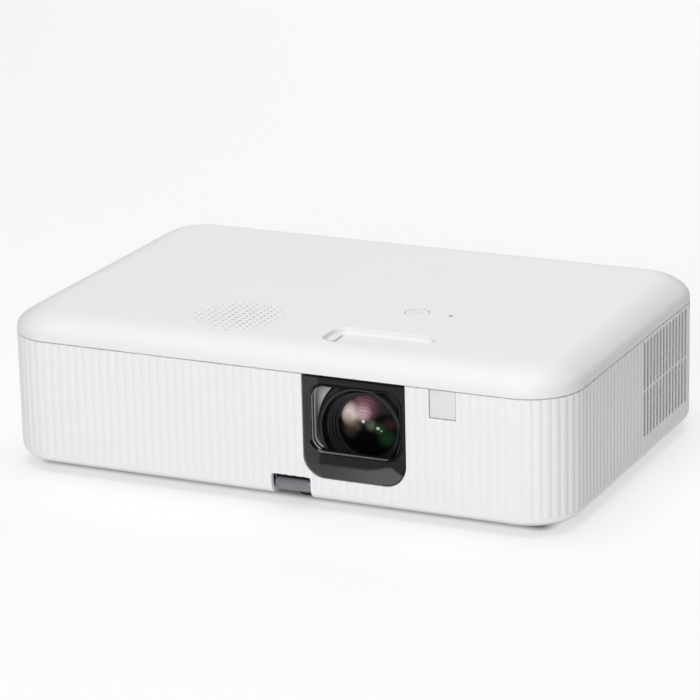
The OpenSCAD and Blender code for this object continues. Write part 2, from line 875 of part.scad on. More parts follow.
module speaker_frame() {
    color([0.2, 0.2, 0.21]) lift() translate([grille_x, grille_y, 0]) difference() {
        union() {
            rotate_extrude() {
                translate([25, speaker_rim])
                    square([2, speaker_top - speaker_rim]);
                translate([9, speaker_rim])
                    square([18, 1.4]);
                translate([0, speaker_back])
                    square([16, speaker_rim - speaker_back]);
            }
            for (a = [0:90:180])
                translate([0, 0, ear_top - 1.4])
                    rotate([0, 0, a]) {
                        translate([26, -3.4, 0])
                            cube([ear_r - 26, 6.8, 1.4]);
                        translate([ear_r, 0, 0])
                            cylinder(h = 1.4, r = 3.4);
                    }
        }
        for (a = [30:60:330])
            translate([0, 0, speaker_rim - 1])
                rotate([0, 0, a])
                    translate([17.5, -4, 0])
                        cube([5.5, 8, 4]);
    }
}

// Paper cone with its rolled edge and dust cap
module speaker_cone() {
    color([0.12, 0.12, 0.12]) lift() translate([grille_x, grille_y, speaker_rim])
        rotate_extrude() {
            polygon([[8, 2.6], [8.7, 2], [21.4, 10], [21, 10.8]]);
            difference() {
                translate([23, 10])
                    circle(r = 1.9);
                translate([23, 10])
                    circle(r = 1.3);
                translate([20, 7])
                    square([5, 3]);
            }
            intersection() {
                difference() {
                    translate([0, -4])
                        circle(r = 11);
                    translate([0, -4])
                        circle(r = 10.4);
                }
                translate([0, 3])
                    square([9, 6]);
            }
            translate([7.4, 1.6])
                square([1.2, 2]);
        }
}

// ---------- Feet ----------

module rear_feet() {
    color([0.13, 0.13, 0.14]) lift()
        for (x = [-1, 1])
            translate([x * rear_foot_x, rear_foot_y, 0]) {
                post(0, 0, 8, -foot_clear + 0.8, 0);
                translate([0, 0, -foot_clear])
                    cylinder(h = 0.8, r1 = 7.2, r2 = 8);
                post(0, 0, 1.9, 0, wall - 0.3);
            }
}

// Square sleeve that guides the front foot, with the two cheeks that hold the lever's pin
module foot_guide() {
    cheek = 1.8;
    color([0.85, 0.85, 0.85]) lift() difference() {
        union() {
            block([foot_x - guide_w / 2, foot_y - guide_w / 2, wall],
                [foot_x + guide_w / 2, foot_y + guide_w / 2, guide_top]);
            block([lever_x0 - 0.6 - cheek, foot_y - guide_w / 2 - 0.5, wall],
                [lever_x1 + 0.6 + cheek, foot_y + guide_w / 2 + 9, wall + 1.8]);
            for (x = [lever_x0 - 0.6 - cheek, lever_x1 + 0.6])
                block([x, pivot_y - 4, wall], [x + cheek, foot_y + guide_w / 2 + 9, pivot_z + 2.6]);
        }
        block([foot_x - post_w / 2 - fit, foot_y - post_w / 2 - fit, 0],
            [foot_x + post_w / 2 + fit, foot_y + post_w / 2 + fit, guide_top + 1]);
        block([foot_x - 4, foot_y - guide_w / 2 - 2, wall - 1], [foot_x + 4, foot_y, 14]);
        post(foot_x, foot_y + 14, 1.2, 0, 10);
        bar_x(pivot_y, pivot_z, 1.55, lever_x0 - 5, lever_x1 + 5);
    }
}

module lever_pin() {
    color([0.7, 0.7, 0.72]) lift()
        bar_x(pivot_y, pivot_z, 1.5, lever_x0 - 3, lever_x1 + 3);
}

// Toothed square post: a rack of small teeth runs up its front face
module foot_post() {
    color([0.25, 0.25, 0.26]) lift() difference() {
        block([foot_x - post_w / 2, foot_y - post_w / 2, -foot_clear + pad_t],
            [foot_x + post_w / 2, foot_y + post_w / 2, post_top]);
        for (z = [4:tooth_pitch:post_top - 6])
            translate([foot_x - 3.4, foot_y - post_w / 2, z])
                rotate([90, 0, 90])
                    linear_extrude(6.8)
                        polygon([[-1, -0.1], [0.9, 0.5], [0.9, 1.4], [-1, 1.5]]);
        block([foot_x - 3.8, foot_y - 3.8, 4], [foot_x + 3.8, foot_y + 3.8, post_top + 1]);
    }
}

module foot_pad() {
    color([0.1, 0.1, 0.1]) lift() {
        post(foot_x, foot_y, pad_r, -foot_clear + 0.8, -foot_clear + pad_t);
        translate([foot_x, foot_y, -foot_clear])
            cylinder(h = 0.8, r1 = pad_r - 0.8, r2 = pad_r);
    }
}

// Lever under the front edge: squeezing its bar upwards frees the foot
module foot_lever() {
    color([0.5, 0.5, 0.52]) lift() difference() {
        union() {
            translate([lever_x0, 0, 0])
                rotate([90, 0, 90])
                    linear_extrude(lever_x1 - lever_x0)
                        polygon([[lever_front, lever_low], [lever_front, lever_high - 1.8],
                            [lever_front + 1.4, lever_high], [lever_front + 4.6, lever_high],
                            [lever_front + 4.6, lever_low + 1.4], [lever_front + 1.8, lever_low]]);
            for (x = [lever_x0, lever_x1 - 2.4])
                translate([x, 0, 0])
                    rotate([90, 0, 90])
                        linear_extrude(2.4)
                            polygon([[lever_front + 3, lever_low + 1.5], [lever_front + 3, lever_high],
                                [pivot_y - 2.2, pivot_z + 2], [pivot_y + 2.2, pivot_z - 2],
                                [pivot_y, pivot_z - 6]]);
            bar_x(pivot_y, pivot_z, 3.2, lever_x0, lever_x1);
            block([foot_x - 3, pivot_y - 1.2, 7], [foot_x + 3, pivot_y + 1.4, pivot_z - 2]);
            block([foot_x - 3, pivot_y - 1.2, 7], [foot_x + 3, foot_y - post_w / 2 - 0.3, 8.6]);
        }
        bar_x(pivot_y, pivot_z, 1.5 + running_gap, lever_x0 - 1, lever_x1 + 1);
    }
}

// ---------- Fasteners in the tub ----------

module case_screws() {
    color([0.6, 0.6, 0.62]) lift()
        for (x = [-1, 1], y = [-1, 1])
            difference() {
                union() {
                    post(x * post_x, y * post_y, 3.2, post_h - 16.4, post_h - 14);
                    post(x * post_x, y * post_y, 1.45, post_h - 14, post_h + 10);
                }
                post(x * post_x, y * post_y, 1.6, post_h - 18, post_h - 15.2);
            }
}

module mount_inserts() {
    color([0.78, 0.62, 0.3]) lift()
        for (x = [-1, 1], y = [-1, 1])
            difference() {
                post(x * mount_x / 2, y * mount_y / 2, insert_r + 0.95, 0.1, 8);
                post(x * mount_x / 2, y * mount_y / 2, insert_r, -1, 9);
            }
}

module lamp_cover() {
    color(white) lift() difference() {
        union() {
            lamp_footprint(1.7, 0, 1.4);
            lamp_footprint(0.3, 1.4, 2.8);
        }
        for (k = [-2:2])
            block([lamp_x0 + 6, (lamp_y0 + lamp_y1) / 2 + k * 3 - 0.7, -1],
                [lamp_x0 + 16, (lamp_y0 + lamp_y1) / 2 + k * 3 + 0.7, 0.6]);
    }
}

// ---------- Rear panel and sockets ----------

module rear_panel() {
    color([0.9, 0.9, 0.9]) lift() difference() {
        union() {
            block([panel_x0 + fit, back - wall, panel_low + fit],
                [panel_x1 - fit, back - 0.8, panel_high - fit]);
            block([panel_x0 - 3, back - wall - 1.6, panel_low - 1.5],
                [panel_x1 + 3, back - wall, panel_high + 3]);
        }
        block([hdmi_x - 7.9, back - 16, port_z - 0.3], [hdmi_x + 7.9, back + 1, port_z + 6]);
        block([usb_x - 7, back - 16, port_z - 0.3], [usb_x + 7, back + 1, port_z + 6.4]);
        block([service_x - 4.6, back - 16, port_z - 0.3], [service_x + 4.6, back + 1, port_z + 4.2]);
        block([inlet_x - 13.8, back - 16, inlet_z - 9.8], [inlet_x + 13.8, back + 1, inlet_z + 9.8]);
        for (k = [0:15])
            block([panel_x0 + 8 + k * 5.4, back - 16, 26],
                [panel_x0 + 10.4 + k * 5.4, back + 1, panel_high - 6]);
    }
}

// Metal socket shell on the board's edge, open to the back
module socket_shell(x, w, h, depth) {
    block([x - w / 2, port_y - depth, port_z], [x + w / 2, port_y, port_z + h]);
}
module hdmi_port() {
    color([0.75, 0.75, 0.77]) lift() {
        difference() {
            socket_shell(hdmi_x, 15, 5.6, 12);
            block([hdmi_x - 7.1, port_y - 10, port_z + 0.4], [hdmi_x + 7.1, port_y + 1, port_z + 5.2]);
        }
        block([hdmi_x - 5.5, port_y - 10.5, port_z + 2.2], [hdmi_x + 5.5, port_y - 1, port_z + 3.3]);
    }
}
module usb_port() {
    color([0.75, 0.75, 0.77]) lift() {
        difference() {
            socket_shell(usb_x, 13.1, 5.9, 14);
            block([usb_x - 6.1, port_y - 12, port_z + 0.4], [usb_x + 6.1, port_y + 1, port_z + 5.5]);
        }
        block([usb_x - 5.4, port_y - 12.5, port_z + 3.2], [usb_x + 5.4, port_y - 1, port_z + 4.9]);
    }
}
module service_port() {
    color([0.75, 0.75, 0.77]) lift() {
        difference() {
            socket_shell(service_x, 8.2, 3.8, 9);
            block([service_x - 3.7, port_y - 8, port_z + 0.4], [service_x + 3.7, port_y + 1, port_z + 3.4]);
        }
        block([service_x - 2.4, port_y - 8.5, port_z + 1.5], [service_x + 2.4, port_y - 1, port_z + 2.3]);
    }
}

module ac_inlet() {
    y0 = back - 24;
    color(black) lift() difference() {
        union() {
            block([inlet_x - 13.5, y0, inlet_z - 9.5], [inlet_x + 13.5, back - 0.9, inlet_z + 9.5]);
            block([inlet_x - 19, back - wall - 3.6, inlet_z - 11.5],
                [inlet_x + 19, back - wall - 1.6, inlet_z + 11.5]);
        }
        upright(back - 18, back + 1)
            translate([inlet_x, inlet_z])
                rounded_rect(24.4, 16.4, 3);
    }
}

module ac_pins() {
    color([0.78, 0.76, 0.7]) lift()
        for (p = [[-7, -1.5], [0, 2.5], [7, -1.5]])
            translate([inlet_x + p.x - 1, back - 18, inlet_z + p.y - 2])
                cube([2, 15, 4]);
}

// ---------- Circuit boards ----------

module main_board() {
    color([0.08, 0.3, 0.16]) lift() difference() {
        block([main_x0, main_y0, board_z], [main_x1, main_y1, board_z + board_t]);
        for (x = [main_x0 + screw_in, main_x1 - screw_in], y = [main_y0 + screw_in, main_y1 - screw_in])
            post(x, y, 1.6, board_z - 1, board_z + 3);
    }
}

module board_chips() {
    color([0.1, 0.1, 0.11]) lift() translate([main_x0, main_y0, board_z + board_t]) {
        block([34, 17, 0], [52, 35, 1.8]);
        for (k = [0:8])
            block([34 + 2.15 * k, 17, 1.8], [34.8 + 2.15 * k, 35, 9]);
        for (p = [[60, 19], [60, 29], [18, 17], [18, 29]])
            block([p.x, p.y, 0], [p.x + 9, p.y + 7, 1.2]);
        for (p = [[12, 41], [76, 11], [76, 21], [82, 31]])
            post(p.x, p.y, 3, 0, 7);
        block([66, 3, 0], [82, 7, 5]);
        block([14, 3, 0], [40, 7, 5]);
    }
}

module power_board() {
    color([0.55, 0.4, 0.2]) lift() difference() {
        block([power_x0, power_y0, board_z], [power_x1, power_y1, board_z + board_t]);
        for (x = [power_x0 + screw_in, power_x1 - screw_in], y = [power_y0 + screw_in, power_y1 - screw_in])
            post(x, y, 1.6, board_z - 1, board_z + 3);
    }
}

module power_parts() {
    color([0.15, 0.15, 0.16]) lift() translate([power_x0, power_y0, board_z + board_t]) {
        block([55, 11, 0], [85, 37, 6]);
        block([59, 15, 6], [81, 33, 24]);
        block([55, 11, 24], [85, 37, 28]);
        for (p = [[15, 11, 9], [15, 33, 9], [37, 11, 6]])
            post(p.x, p.y, p.z, 0, 2.4 * p.z + 8);
        translate([97, 19, 10.8])
            rotate([90, 0, 0])
                rotate_extrude()
                    translate([7, 0])
                        circle(r = 3.6);
        block([93, 15, 0], [101, 23, 3]);
        block([29, 45, 0], [97, 47, 28]);
        for (k = [0:10])
            block([31 + k * 6, 40.5, 4], [32.4 + k * 6, 45, 26]);
    }
}

// ---------- Light engine ----------

module engine_tray() {
    color([0.25, 0.25, 0.27]) lift() difference() {
        union() {
            difference() {
                block([tray_x0, tray_y0, tray_low], [tray_x1, tray_y1, tray_high]);
                block([tray_x0 + tray_wall, tray_y0 + tray_wall, tray_low + tray_wall],
                    [tray_x1 - tray_wall, tray_y1 - tray_wall, tray_high + 1]);
            }
            block([lens_x - 18, prism_y - 14, tray_low + 1],
                [lens_x + 18, prism_y + 18, lens_h - prism_w / 2]);
            for (x = [lens_x - 34, lens_x + 17])
                block([x, 20, tray_low + 1], [x + tray_wall, 28, tray_high]);
        }
        bar_y(lens_x, lens_h, 15.2, tray_y0 - 1, tray_y0 + tray_wall + 1);
        at_flange_screws()
            bar_y(0, 0, 1.6, tray_y0 - 1, tray_y0 + tray_wall + 1);
        bar_x(beam_y, lens_h, 17, tray_x1 - tray_wall - 1, tray_x1 + 1);
    }
}

module engine_lid() {
    color([0.3, 0.3, 0.32]) lift() {
        block([tray_x0, tray_y0, tray_high], [tray_x1, tray_y1, tray_high + 2]);
        for (k = [1:6])
            translate([tray_x0 + 16 * k, tray_y0 + 6, tray_high + 2])
                cube([1.4, tray_y1 - tray_y0 - 12, 2.4]);
    }
}

// Four triangular prisms cemented into one cube
module prism_cube() {
    color([0.8, 0.85, 0.9, 0.6]) lift()
        block([lens_x - prism_w / 2, prism_y - prism_w / 2, lens_h - prism_w / 2],
            [lens_x + prism_w / 2, prism_y + prism_w / 2, lens_h + prism_w / 2]);
}

// Three panels round the cube, each a frame with its glass
module lcd_panels() {
    color([0.35, 0.4, 0.5]) lift()
        for (a = [0, 90, 180])
            translate([lens_x, prism_y, lens_h])
                rotate([0, 0, a])
                    translate([prism_w / 2 + panel_gap, -12, -prism_w / 2]) {
                        difference() {
                            cube([panel_t, 24, prism_w]);
                            translate([-1, 4, 4])
                                cube([5, 16, prism_w - 8]);
                        }
                        translate([0.8, 4, 4])
                            cube([0.8, 16, prism_w - 8]);
                    }
}

module fold_mirrors() {
    color([0.75, 0.8, 0.85]) lift()
        for (m = [[right_mirror_x, beam_y, 45], [lens_x, beam_y, 45], [left_mirror_x, beam_y, 45],
                  [left_mirror_x, prism_y, -45], [right_mirror_x, prism_y, 45]])
            translate([m.x, m.y, tray_low + tray_wall])
                rotate([0, 0, m.z])
                    translate([-mirror_l / 2, -0.6, 0])
                        cube([mirror_l, 1.2, tray_high - tray_low - tray_wall - 7.3]);
}

// The two-sided lens array by the lamp, and the relay lenses along the beam
module integrator_lenses() {
    foot = tray_low + tray_wall;
    color([0.7, 0.8, 0.9, 0.5]) lift() {
        block([tray_x1 - tray_wall - 2, beam_y - 16, foot],
            [tray_x1 - tray_wall - 0.4, beam_y + 16, lens_h + 17]);
        for (x = [relay_x, lens_x - 26.3]) {
            intersection() {
                bar_x(beam_y, lens_h, 12, x - 2.6, x + 2.6);
                translate([x - 24, beam_y, lens_h])
                    rotate([0, 0, 180])
                        sphere(r = 26);
            }
            block([x - 2.3, beam_y - 3, foot], [x - 1.3, beam_y + 3, lens_h - 11]);
        }
        intersection() {
            bar_y(left_mirror_x, lens_h, 12, 18.4, 23.6);
            translate([left_mirror_x, 45, lens_h])
                sphere(r = 26);
        }
        block([left_mirror_x - 3, 22.3, foot], [left_mirror_x + 3, 23.3, lens_h - 11]);
    }
}

// ---------- Lamp ----------

module lamp_housing() {
    t = 1.8;
    top = tray_high - 0.5;
    color([0.2, 0.2, 0.2]) lift() difference() {
        block([lamp_x0, lamp_y0, 2.8], [lamp_x1, lamp_y1, top]);
        block([lamp_x0 + t, lamp_y0 + t, 2.8 + t], [lamp_x1 - t, lamp_y1 - t, top - t]);
        bar_x(beam_y, lens_h, 17, lamp_x0 - 1, lamp_x0 + t + 1);
        for (k = [0:8])
            translate([lamp_x1 - t - 1, lamp_y0 + 5 + k * 4.4, 10])
                cube([t + 2, 2, top - 16]);
        for (k = [0:4])
            block([lamp_x0 + 6 + k * 5, lamp_y0 - 1, 20], [lamp_x0 + 8 + k * 5, lamp_y1 + 1, top - 14]);
    }
}

// Glass bowl behind the burner, a parabola turned about the beam
module lamp_reflector() {
    depth = 25;
    neck = 5.6;
    rim = 19;
    steps = 12;
    wall_r = 1.8;
    function bowl(t) = sqrt(neck * neck + t * (rim * rim - neck * neck));
    color([0.8, 0.82, 0.85]) lift()
        translate([lamp_x0 + 1.8, beam_y, lens_h])
            rotate([0, 90, 0]) {
                rotate_extrude()
                    polygon(concat(
                        [for (k = [0:steps]) [bowl(1 - k / steps), k / steps * depth]],
                        [for (k = [steps:-1:0]) [bowl(1 - k / steps) + wall_r, k / steps * depth]]));
                difference() {
                    cylinder(h = 1.6, r = rim + 2);
                    translate([0, 0, -1])
                        cylinder(h = 4, r = rim + 0.6);
                }
            }
}

module lamp_burner() {
    x = lamp_x0 + 1.8;
    color([0.9, 0.9, 0.92]) lift() {
        bar_x(beam_y, lens_h, 1.6, x + 4, x + 24);
        translate([x + 13, beam_y, lens_h])
            sphere(r = 4.4);
        bar_x(beam_y, lens_h, 5, x + 21, x + 31.6);
    }
}

// ---------- Fans ----------

module fan_frame() {
    color([0.12, 0.12, 0.13]) lift() {
        difference() {
            block([fan_x0, fan_y - fan_w / 2, fan_z - fan_w / 2],
                [fan_x1, fan_y + fan_w / 2, fan_z + fan_w / 2]);
            bar_x(fan_y, fan_z, fan_r, fan_x0 - 1, fan_x1 - 2);
            difference() {
                bar_x(fan_y, fan_z, fan_r, fan_x1 - 3, fan_x1 + 1);
                bar_x(fan_y, fan_z, 11, fan_x1 - 4, fan_x1 + 2);
                for (a = [30:120:270])
                    translate([fan_x1 - 4, fan_y, fan_z])
                        rotate([a, 0, 0])
                            translate([0, 5, -1.6])
                                cube([6, fan_r, 3.2]);
            }
            for (a = [45:90:315])
                bar_x(fan_y + 29.7 * cos(a), fan_z + 29.7 * sin(a), 1.8, fan_x0 - 1, fan_x1 + 1);
        }
        bar_x(fan_y, fan_z, 1.5, fan_x0 + 3, fan_x1 - 1);
    }
}

// Blades set at a pitch round a hub, cut to a round sweep
module fan_rotor() {
    blades = 7;
    color([0.16, 0.16, 0.17]) lift() difference() {
        union() {
            bar_x(fan_y, fan_z, 11.4, fan_x0 + 1.4, fan_x1 - 2.6);
            intersection() {
                bar_x(fan_y, fan_z, fan_r - 0.8, fan_x0 + 0.8, fan_x1 - 3);
                for (k = [0:blades - 1])
                    translate([(fan_x0 + fan_x1) / 2 - 1, fan_y, fan_z])
                        rotate([k * 360 / blades, 0, 0])
                            translate([0, 0, 9])
                                rotate([0, 0, 38])
                                    translate([-7.5, -0.6, 0])
                                        cube([15, 1.2, 16]);
            }
        }
        bar_x(fan_y, fan_z, 1.5 + running_gap, fan_x0, fan_x1);
        bar_x(fan_y, fan_z, 9.8, fan_x0 + 3.4, fan_x1);
    }
}

module blower_housing() {
    t = 1.8;
    top = blower_low + blower_h;
    color([0.12, 0.12, 0.13]) lift() {
        difference() {
            block([blower_x - blower_w / 2, blower_y - blower_w / 2, blower_low],
                [blower_x + blower_w / 2, blower_y + blower_w / 2, top]);
            post(blower_x - 2, blower_y, 21, blower_low + t, top - t);
            block([blower_x, blower_y + 1, blower_low + t], [blower_x + blower_w, blower_y + 21, top - t]);
            post(blower_x - 2, blower_y, 15, top - t - 1, top + 1);
        }
        post(blower_x - 2, blower_y, 1.5, blower_low + t, top - 4);
    }
}

// Ring of upright blades on a disc
module blower_rotor() {
    low = blower_low + 2.8;
    high = blower_low + blower_h - 3;
    blades = 23;
    color([0.16, 0.16, 0.17]) lift() translate([blower_x - 2, blower_y, 0]) difference() {
        union() {
            post(0, 0, 18, low, low + 1.4);
            post(0, 0, 6.5, low, high - 2);
            for (k = [0:blades - 1])
                rotate([0, 0, k * 360 / blades])
                    translate([12.8, 0, low])
                        rotate([0, 0, 32])
                            translate([0, -0.4, 0])
                                cube([5.2, 0.8, high - low - 0.5]);
            difference() {
                post(0, 0, 18, high - 1.6, high);
                post(0, 0, 15.4, high - 3, high + 1);
            }
        }
        post(0, 0, 1.5 + running_gap, low - 1, high + 1);
    }
}

// ---------- Exhaust and filter ----------

// Frame behind the exhaust slots with slanted slats that hide the lamp
module exhaust_louver() {
    slat_pitch = 5.6;
    y0 = groove_y(slot_first) - 3.4;
    y1 = groove_y(slot_first + slot_count - 1) + 3.4;
    x0 = fan_x1 + 1.5;
    x1 = case_w / 2 - wall - 0.2;
    color([0.3, 0.3, 0.31]) lift() {
        difference() {
            block([x0, y0, slot_low - 2.5], [x1, y1, slot_high + 1.4]);
            block([x0 - 1, y0 + 1.8, slot_low - 0.6], [x1 + 1, y1 - 1.8, slot_high - 0.4]);
        }
        for (k = [0:floor((slot_high - slot_low - 6) / slat_pitch)])
            translate([x0 + 3, y0 + 1, slot_low + 3 + k * slat_pitch])
                rotate([0, 40, 0])
                    translate([-3, 0, -0.5])
                        cube([6, y1 - y0 - 2, 1]);
    }
}

// Cover of the air filter: it carries the flutes and slots on across the left wall
module filter_cover() {
    color(white) lift() difference() {
        intersection() {
            linear_extrude(tub_z)
                fluted_outline();
            block([-case_w / 2 - 1, -filter_y + 0.4, filter_low + 0.4],
                [-case_w / 2 + wall, filter_y - 0.4, filter_high - 0.4]);
        }
        for (k = [0:slot_first + slot_count])
            if (abs(groove_y(k)) < filter_y - 5)
                block([-case_w / 2 - 1, groove_y(k) - slot_w / 2, filter_low + 4],
                    [-case_w / 2 + wall + 1, groove_y(k) + slot_w / 2, filter_high - 4]);
    }
}

module filter_frame() {
    x0 = -case_w / 2 + wall;
    color([0.2, 0.2, 0.21]) lift() difference() {
        block([x0, -filter_y + 0.8, filter_low + 0.8], [x0 + 6, filter_y - 0.8, filter_high - 0.8]);
        for (side = [-1, 1])
            block([x0 - 1, side * filter_y / 2 - filter_y / 2 + 3 - 0.2 * side, filter_low + 3.4],
                [x0 + 7, side * filter_y / 2 + filter_y / 2 - 3 - 0.2 * side, filter_high - 3.4]);
    }
}

module filter_foam() {
    x0 = -case_w / 2 + wall;
    color([0.1, 0.1, 0.1]) lift()
        for (side = [-1, 1])
            block([x0 + 0.6, side * filter_y / 2 - filter_y / 2 + 3 - 0.2 * side, filter_low + 3.4],
                [x0 + 5.4, side * filter_y / 2 + filter_y / 2 - 3 - 0.2 * side, filter_high - 3.4]);
}

// ---------- Parts ----------
lower_case();
upper_case();
lens_bezel();
lens_shroud();
door_track();
remote_window();
status_light();
rear_panel();
exhaust_louver();
lamp_cover();
rear_feet();
foot_guide();
lever_pin();
case_screws();
mount_inserts();
speaker_frame();
speaker_cone();
key_board();
key_switch();
main_board();
board_chips();
hdmi_port();
usb_port();
service_port();
ac_inlet();
ac_pins();
power_board();
power_parts();
engine_tray();
engine_lid();
prism_cube();
lcd_panels();
fold_mirrors();
integrator_lenses();
lamp_housing();
lamp_reflector();
lamp_burner();
fan_frame();
blower_housing();
lens_tube();
tube_screws();
rear_lens();
receiver_board();
power_button();
lens_door();
door_slider();
focus_ring();
lens_barrel();
front_lens();
lens_retainer();
foot_post();
foot_pad();
foot_lever();
fan_rotor();
blower_rotor();
filter_cover();
filter_frame();
filter_foam();
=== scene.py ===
"""Home projector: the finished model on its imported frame.

Lengths are in metres, and MM turns a maker's millimetres into metres. Places come from the frame's own boxes.
X runs along the front, Y from the lens to the rear panel, and Z is up. "Behind" is a distance from the case's
front, measured towards the back. The outer pieces are built here and replace the plain ones of the frame.
"""
import json
import math

import bmesh
import bpy
from mathutils import Matrix, Vector


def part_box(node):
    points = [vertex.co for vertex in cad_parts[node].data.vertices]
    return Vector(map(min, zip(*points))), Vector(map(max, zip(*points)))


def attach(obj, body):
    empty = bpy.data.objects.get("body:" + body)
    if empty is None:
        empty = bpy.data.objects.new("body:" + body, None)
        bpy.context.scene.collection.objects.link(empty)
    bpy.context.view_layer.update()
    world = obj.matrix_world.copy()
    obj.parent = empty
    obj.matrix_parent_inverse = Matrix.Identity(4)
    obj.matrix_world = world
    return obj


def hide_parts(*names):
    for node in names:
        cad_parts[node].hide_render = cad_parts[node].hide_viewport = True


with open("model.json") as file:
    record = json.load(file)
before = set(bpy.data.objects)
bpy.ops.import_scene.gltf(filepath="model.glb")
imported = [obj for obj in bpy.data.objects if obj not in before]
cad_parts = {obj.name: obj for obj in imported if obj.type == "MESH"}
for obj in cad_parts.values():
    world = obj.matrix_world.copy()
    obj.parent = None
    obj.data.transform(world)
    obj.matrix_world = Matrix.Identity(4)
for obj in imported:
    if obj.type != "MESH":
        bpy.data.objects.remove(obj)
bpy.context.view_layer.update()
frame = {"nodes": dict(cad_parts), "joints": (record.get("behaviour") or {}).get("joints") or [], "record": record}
MM = 0.001
TINY = 1e-6


def middle(node):
    """Middle of a node's box."""
    low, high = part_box(node)
    return (low + high) / 2


# ---------------------------------------------------------------- camera

def set_camera(target):
    """A long lens looking at the lens side from a little above, with the small shift of the framing."""
    azimuth, elevation, roll = (math.radians(a) for a in (25.06, 17.695, -1.304))
    distance = 1.837
    away = Vector((math.sin(azimuth) * math.cos(elevation), -math.cos(azimuth) * math.cos(elevation),
                   math.sin(elevation)))
    side = Vector((math.cos(azimuth), math.sin(azimuth), 0))
    right = side * math.cos(roll) + away.cross(side) * math.sin(roll)
    turn = Matrix((right, away.cross(right), away)).transposed()
    camera = bpy.data.objects.new("camera", bpy.data.cameras.new("camera"))
    camera.data.lens = 175.55
    camera.data.sensor_width = 36
    camera.data.shift_x = -0.0102
    camera.data.shift_y = 0.0170
    camera.data.clip_end = 50
    camera.matrix_world = Matrix.Translation(target + away * distance) @ turn.to_4x4()
    bpy.context.scene.collection.objects.link(camera)
    bpy.context.scene.camera = camera


# ---------------------------------------------------------------- sizes

CASE_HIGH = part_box("upper_case")[1]
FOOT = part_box("lower_case")[0].z                    # clearance under the case
TOP = CASE_HIGH.z
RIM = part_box("lens_bezel")[1].z                     # top edge of the tub
HALF_W, HALF_D = CASE_HIGH.x, CASE_HIGH.y
FRONT = -HALF_D
set_camera(Vector((0, 0, (FOOT + TOP) / 2)))

SEAM = 0.5 * MM                                     # open line between tub and lid
CORNER = 28.4 * MM                                  # upright corners, seen from above
WALL = 2.6 * MM
EDGE = 0.3 * MM                                     # rounding of a moulded edge
PAST = 2 * MM                                       # how far a cutter reaches past the skin that it cuts
BASE_ROUND = 7.4 * MM
CROWN_REACH, CROWN_RISE, CROWN_SIDE = 20 * MM, 11.9 * MM, 7 * MM
FLUTES, FLUTE_STEPS, FLUTE_DEPTH = 208, 8, 0.5 * MM
FLAT_W, FLAT_D = 2 * (HALF_W - CORNER), 2 * (HALF_D - CORNER)
ARC = math.pi / 2 * CORNER
AROUND = 2 * (FLAT_W + FLAT_D) + 4 * ARC
PITCH = AROUND / FLUTES
LENS = Vector((middle("front_lens").x, FRONT, middle("front_lens").z))
GLASS_R = (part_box("front_lens")[1].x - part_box("front_lens")[0].x) / 2
SPEAKER = middle("speaker_cone")
KEY = middle("power_button")
LIGHT = middle("status_light")
DOOR_TRAVEL = [joint for joint in frame["joints"] if joint["name"] == "lens_door_slide"][0]["range_m"][1]
RECESS_W, RECESS_D, RECESS_R, RECESS_SINK = 57 * MM, 24 * MM, 8 * MM, 3 * MM
RECESS = Vector((LENS.x + 2.2 * MM, FRONT + 28.6 * MM, TOP - RECESS_SINK))
WINDOW_W, WINDOW_ROUND = 57.6 * MM, 12 * MM
WINDOW_LOW = FOOT + 13.2 * MM
MOUTH_W, MOUTH_ROUND = 48.8 * MM, 7 * MM
MOUTH_LOW, MOUTH_HIGH = FOOT + 27.5 * MM, FOOT + 62 * MM
MOUTH_SIDE = 20 * MM                                # from the lens axis to where the opening's sides begin


# ---------------------------------------------------------------- node trees

class Wire:
    """An output socket that can be reckoned with: each operator adds the Math node it stands for."""

    def __init__(self, bench, socket):
        self.bench, self.socket = bench, socket

    def math(self, operation, *others):
        values = dict(enumerate((self, *others)))
        return self.bench.node("ShaderNodeMath", {"operation": operation}, values)

    def from_left(self, operation, other):
        return self.bench.node("ShaderNodeMath", {"operation": operation}, {0: other, 1: self})

    def __add__(self, other):
        return self.math("ADD", other)

    def __sub__(self, other):
        return self.math("SUBTRACT", other)

    def __mul__(self, other):
        return self.math("MULTIPLY", other)

    def __truediv__(self, other):
        return self.math("DIVIDE", other)

    def __lt__(self, other):
        return self.math("LESS_THAN", other)

    def __gt__(self, other):
        return self.math("GREATER_THAN", other)

    def __radd__(self, other):
        return self.from_left("ADD", other)

    def __rsub__(self, other):
        return self.from_left("SUBTRACT", other)

    def __rmul__(self, other):
        return self.from_left("MULTIPLY", other)

    def __neg__(self):
        return self * -1

    def __abs__(self):
        return self.math("ABSOLUTE")

    def length(self, other):
        """Length of the flat vector of two numbers."""
        return (self * self + other * other).math("SQRT")

    def at_least(self, other):
        return self.math("MAXIMUM", other)

    def fade(self, start, end):
        """1 before start and 0 after end, with a soft passage between them."""
        return self.bench.node("ShaderNodeMapRange", {"interpolation_type": "SMOOTHSTEP"}, {
            "Value": self, "From Min": start, "From Max": end, "To Min": 1.0, "To Max": 0.0})


class Bench:
    """A node tree to work on."""

    def __init__(self, tree):
        self.tree = tree

    def node(self, kind, settings=None, inputs=None, out=0):
        """Adds a node of the given type, with its settings and the values or wires of its inputs.

        out is the name of the output to go on with, or its number where several share a name.
        """
        made = self.tree.nodes.new(kind)
        for key, value in (settings or {}).items():
            setattr(made, key, value)
        for key, value in (inputs or {}).items():
            self.feed(made.inputs[key], value)
        return Wire(self, made.outputs[out])

    def feed(self, socket, value):
        if isinstance(value, Wire):
            self.tree.links.new(value.socket, socket)
        else:
            socket.default_value = value


# ---------------------------------------------------------------- finishes

# Numbers of the Mix node's colour sockets, whose names it uses more than once
COLOUR_A, COLOUR_B, COLOUR_RESULT = 6, 7, 2


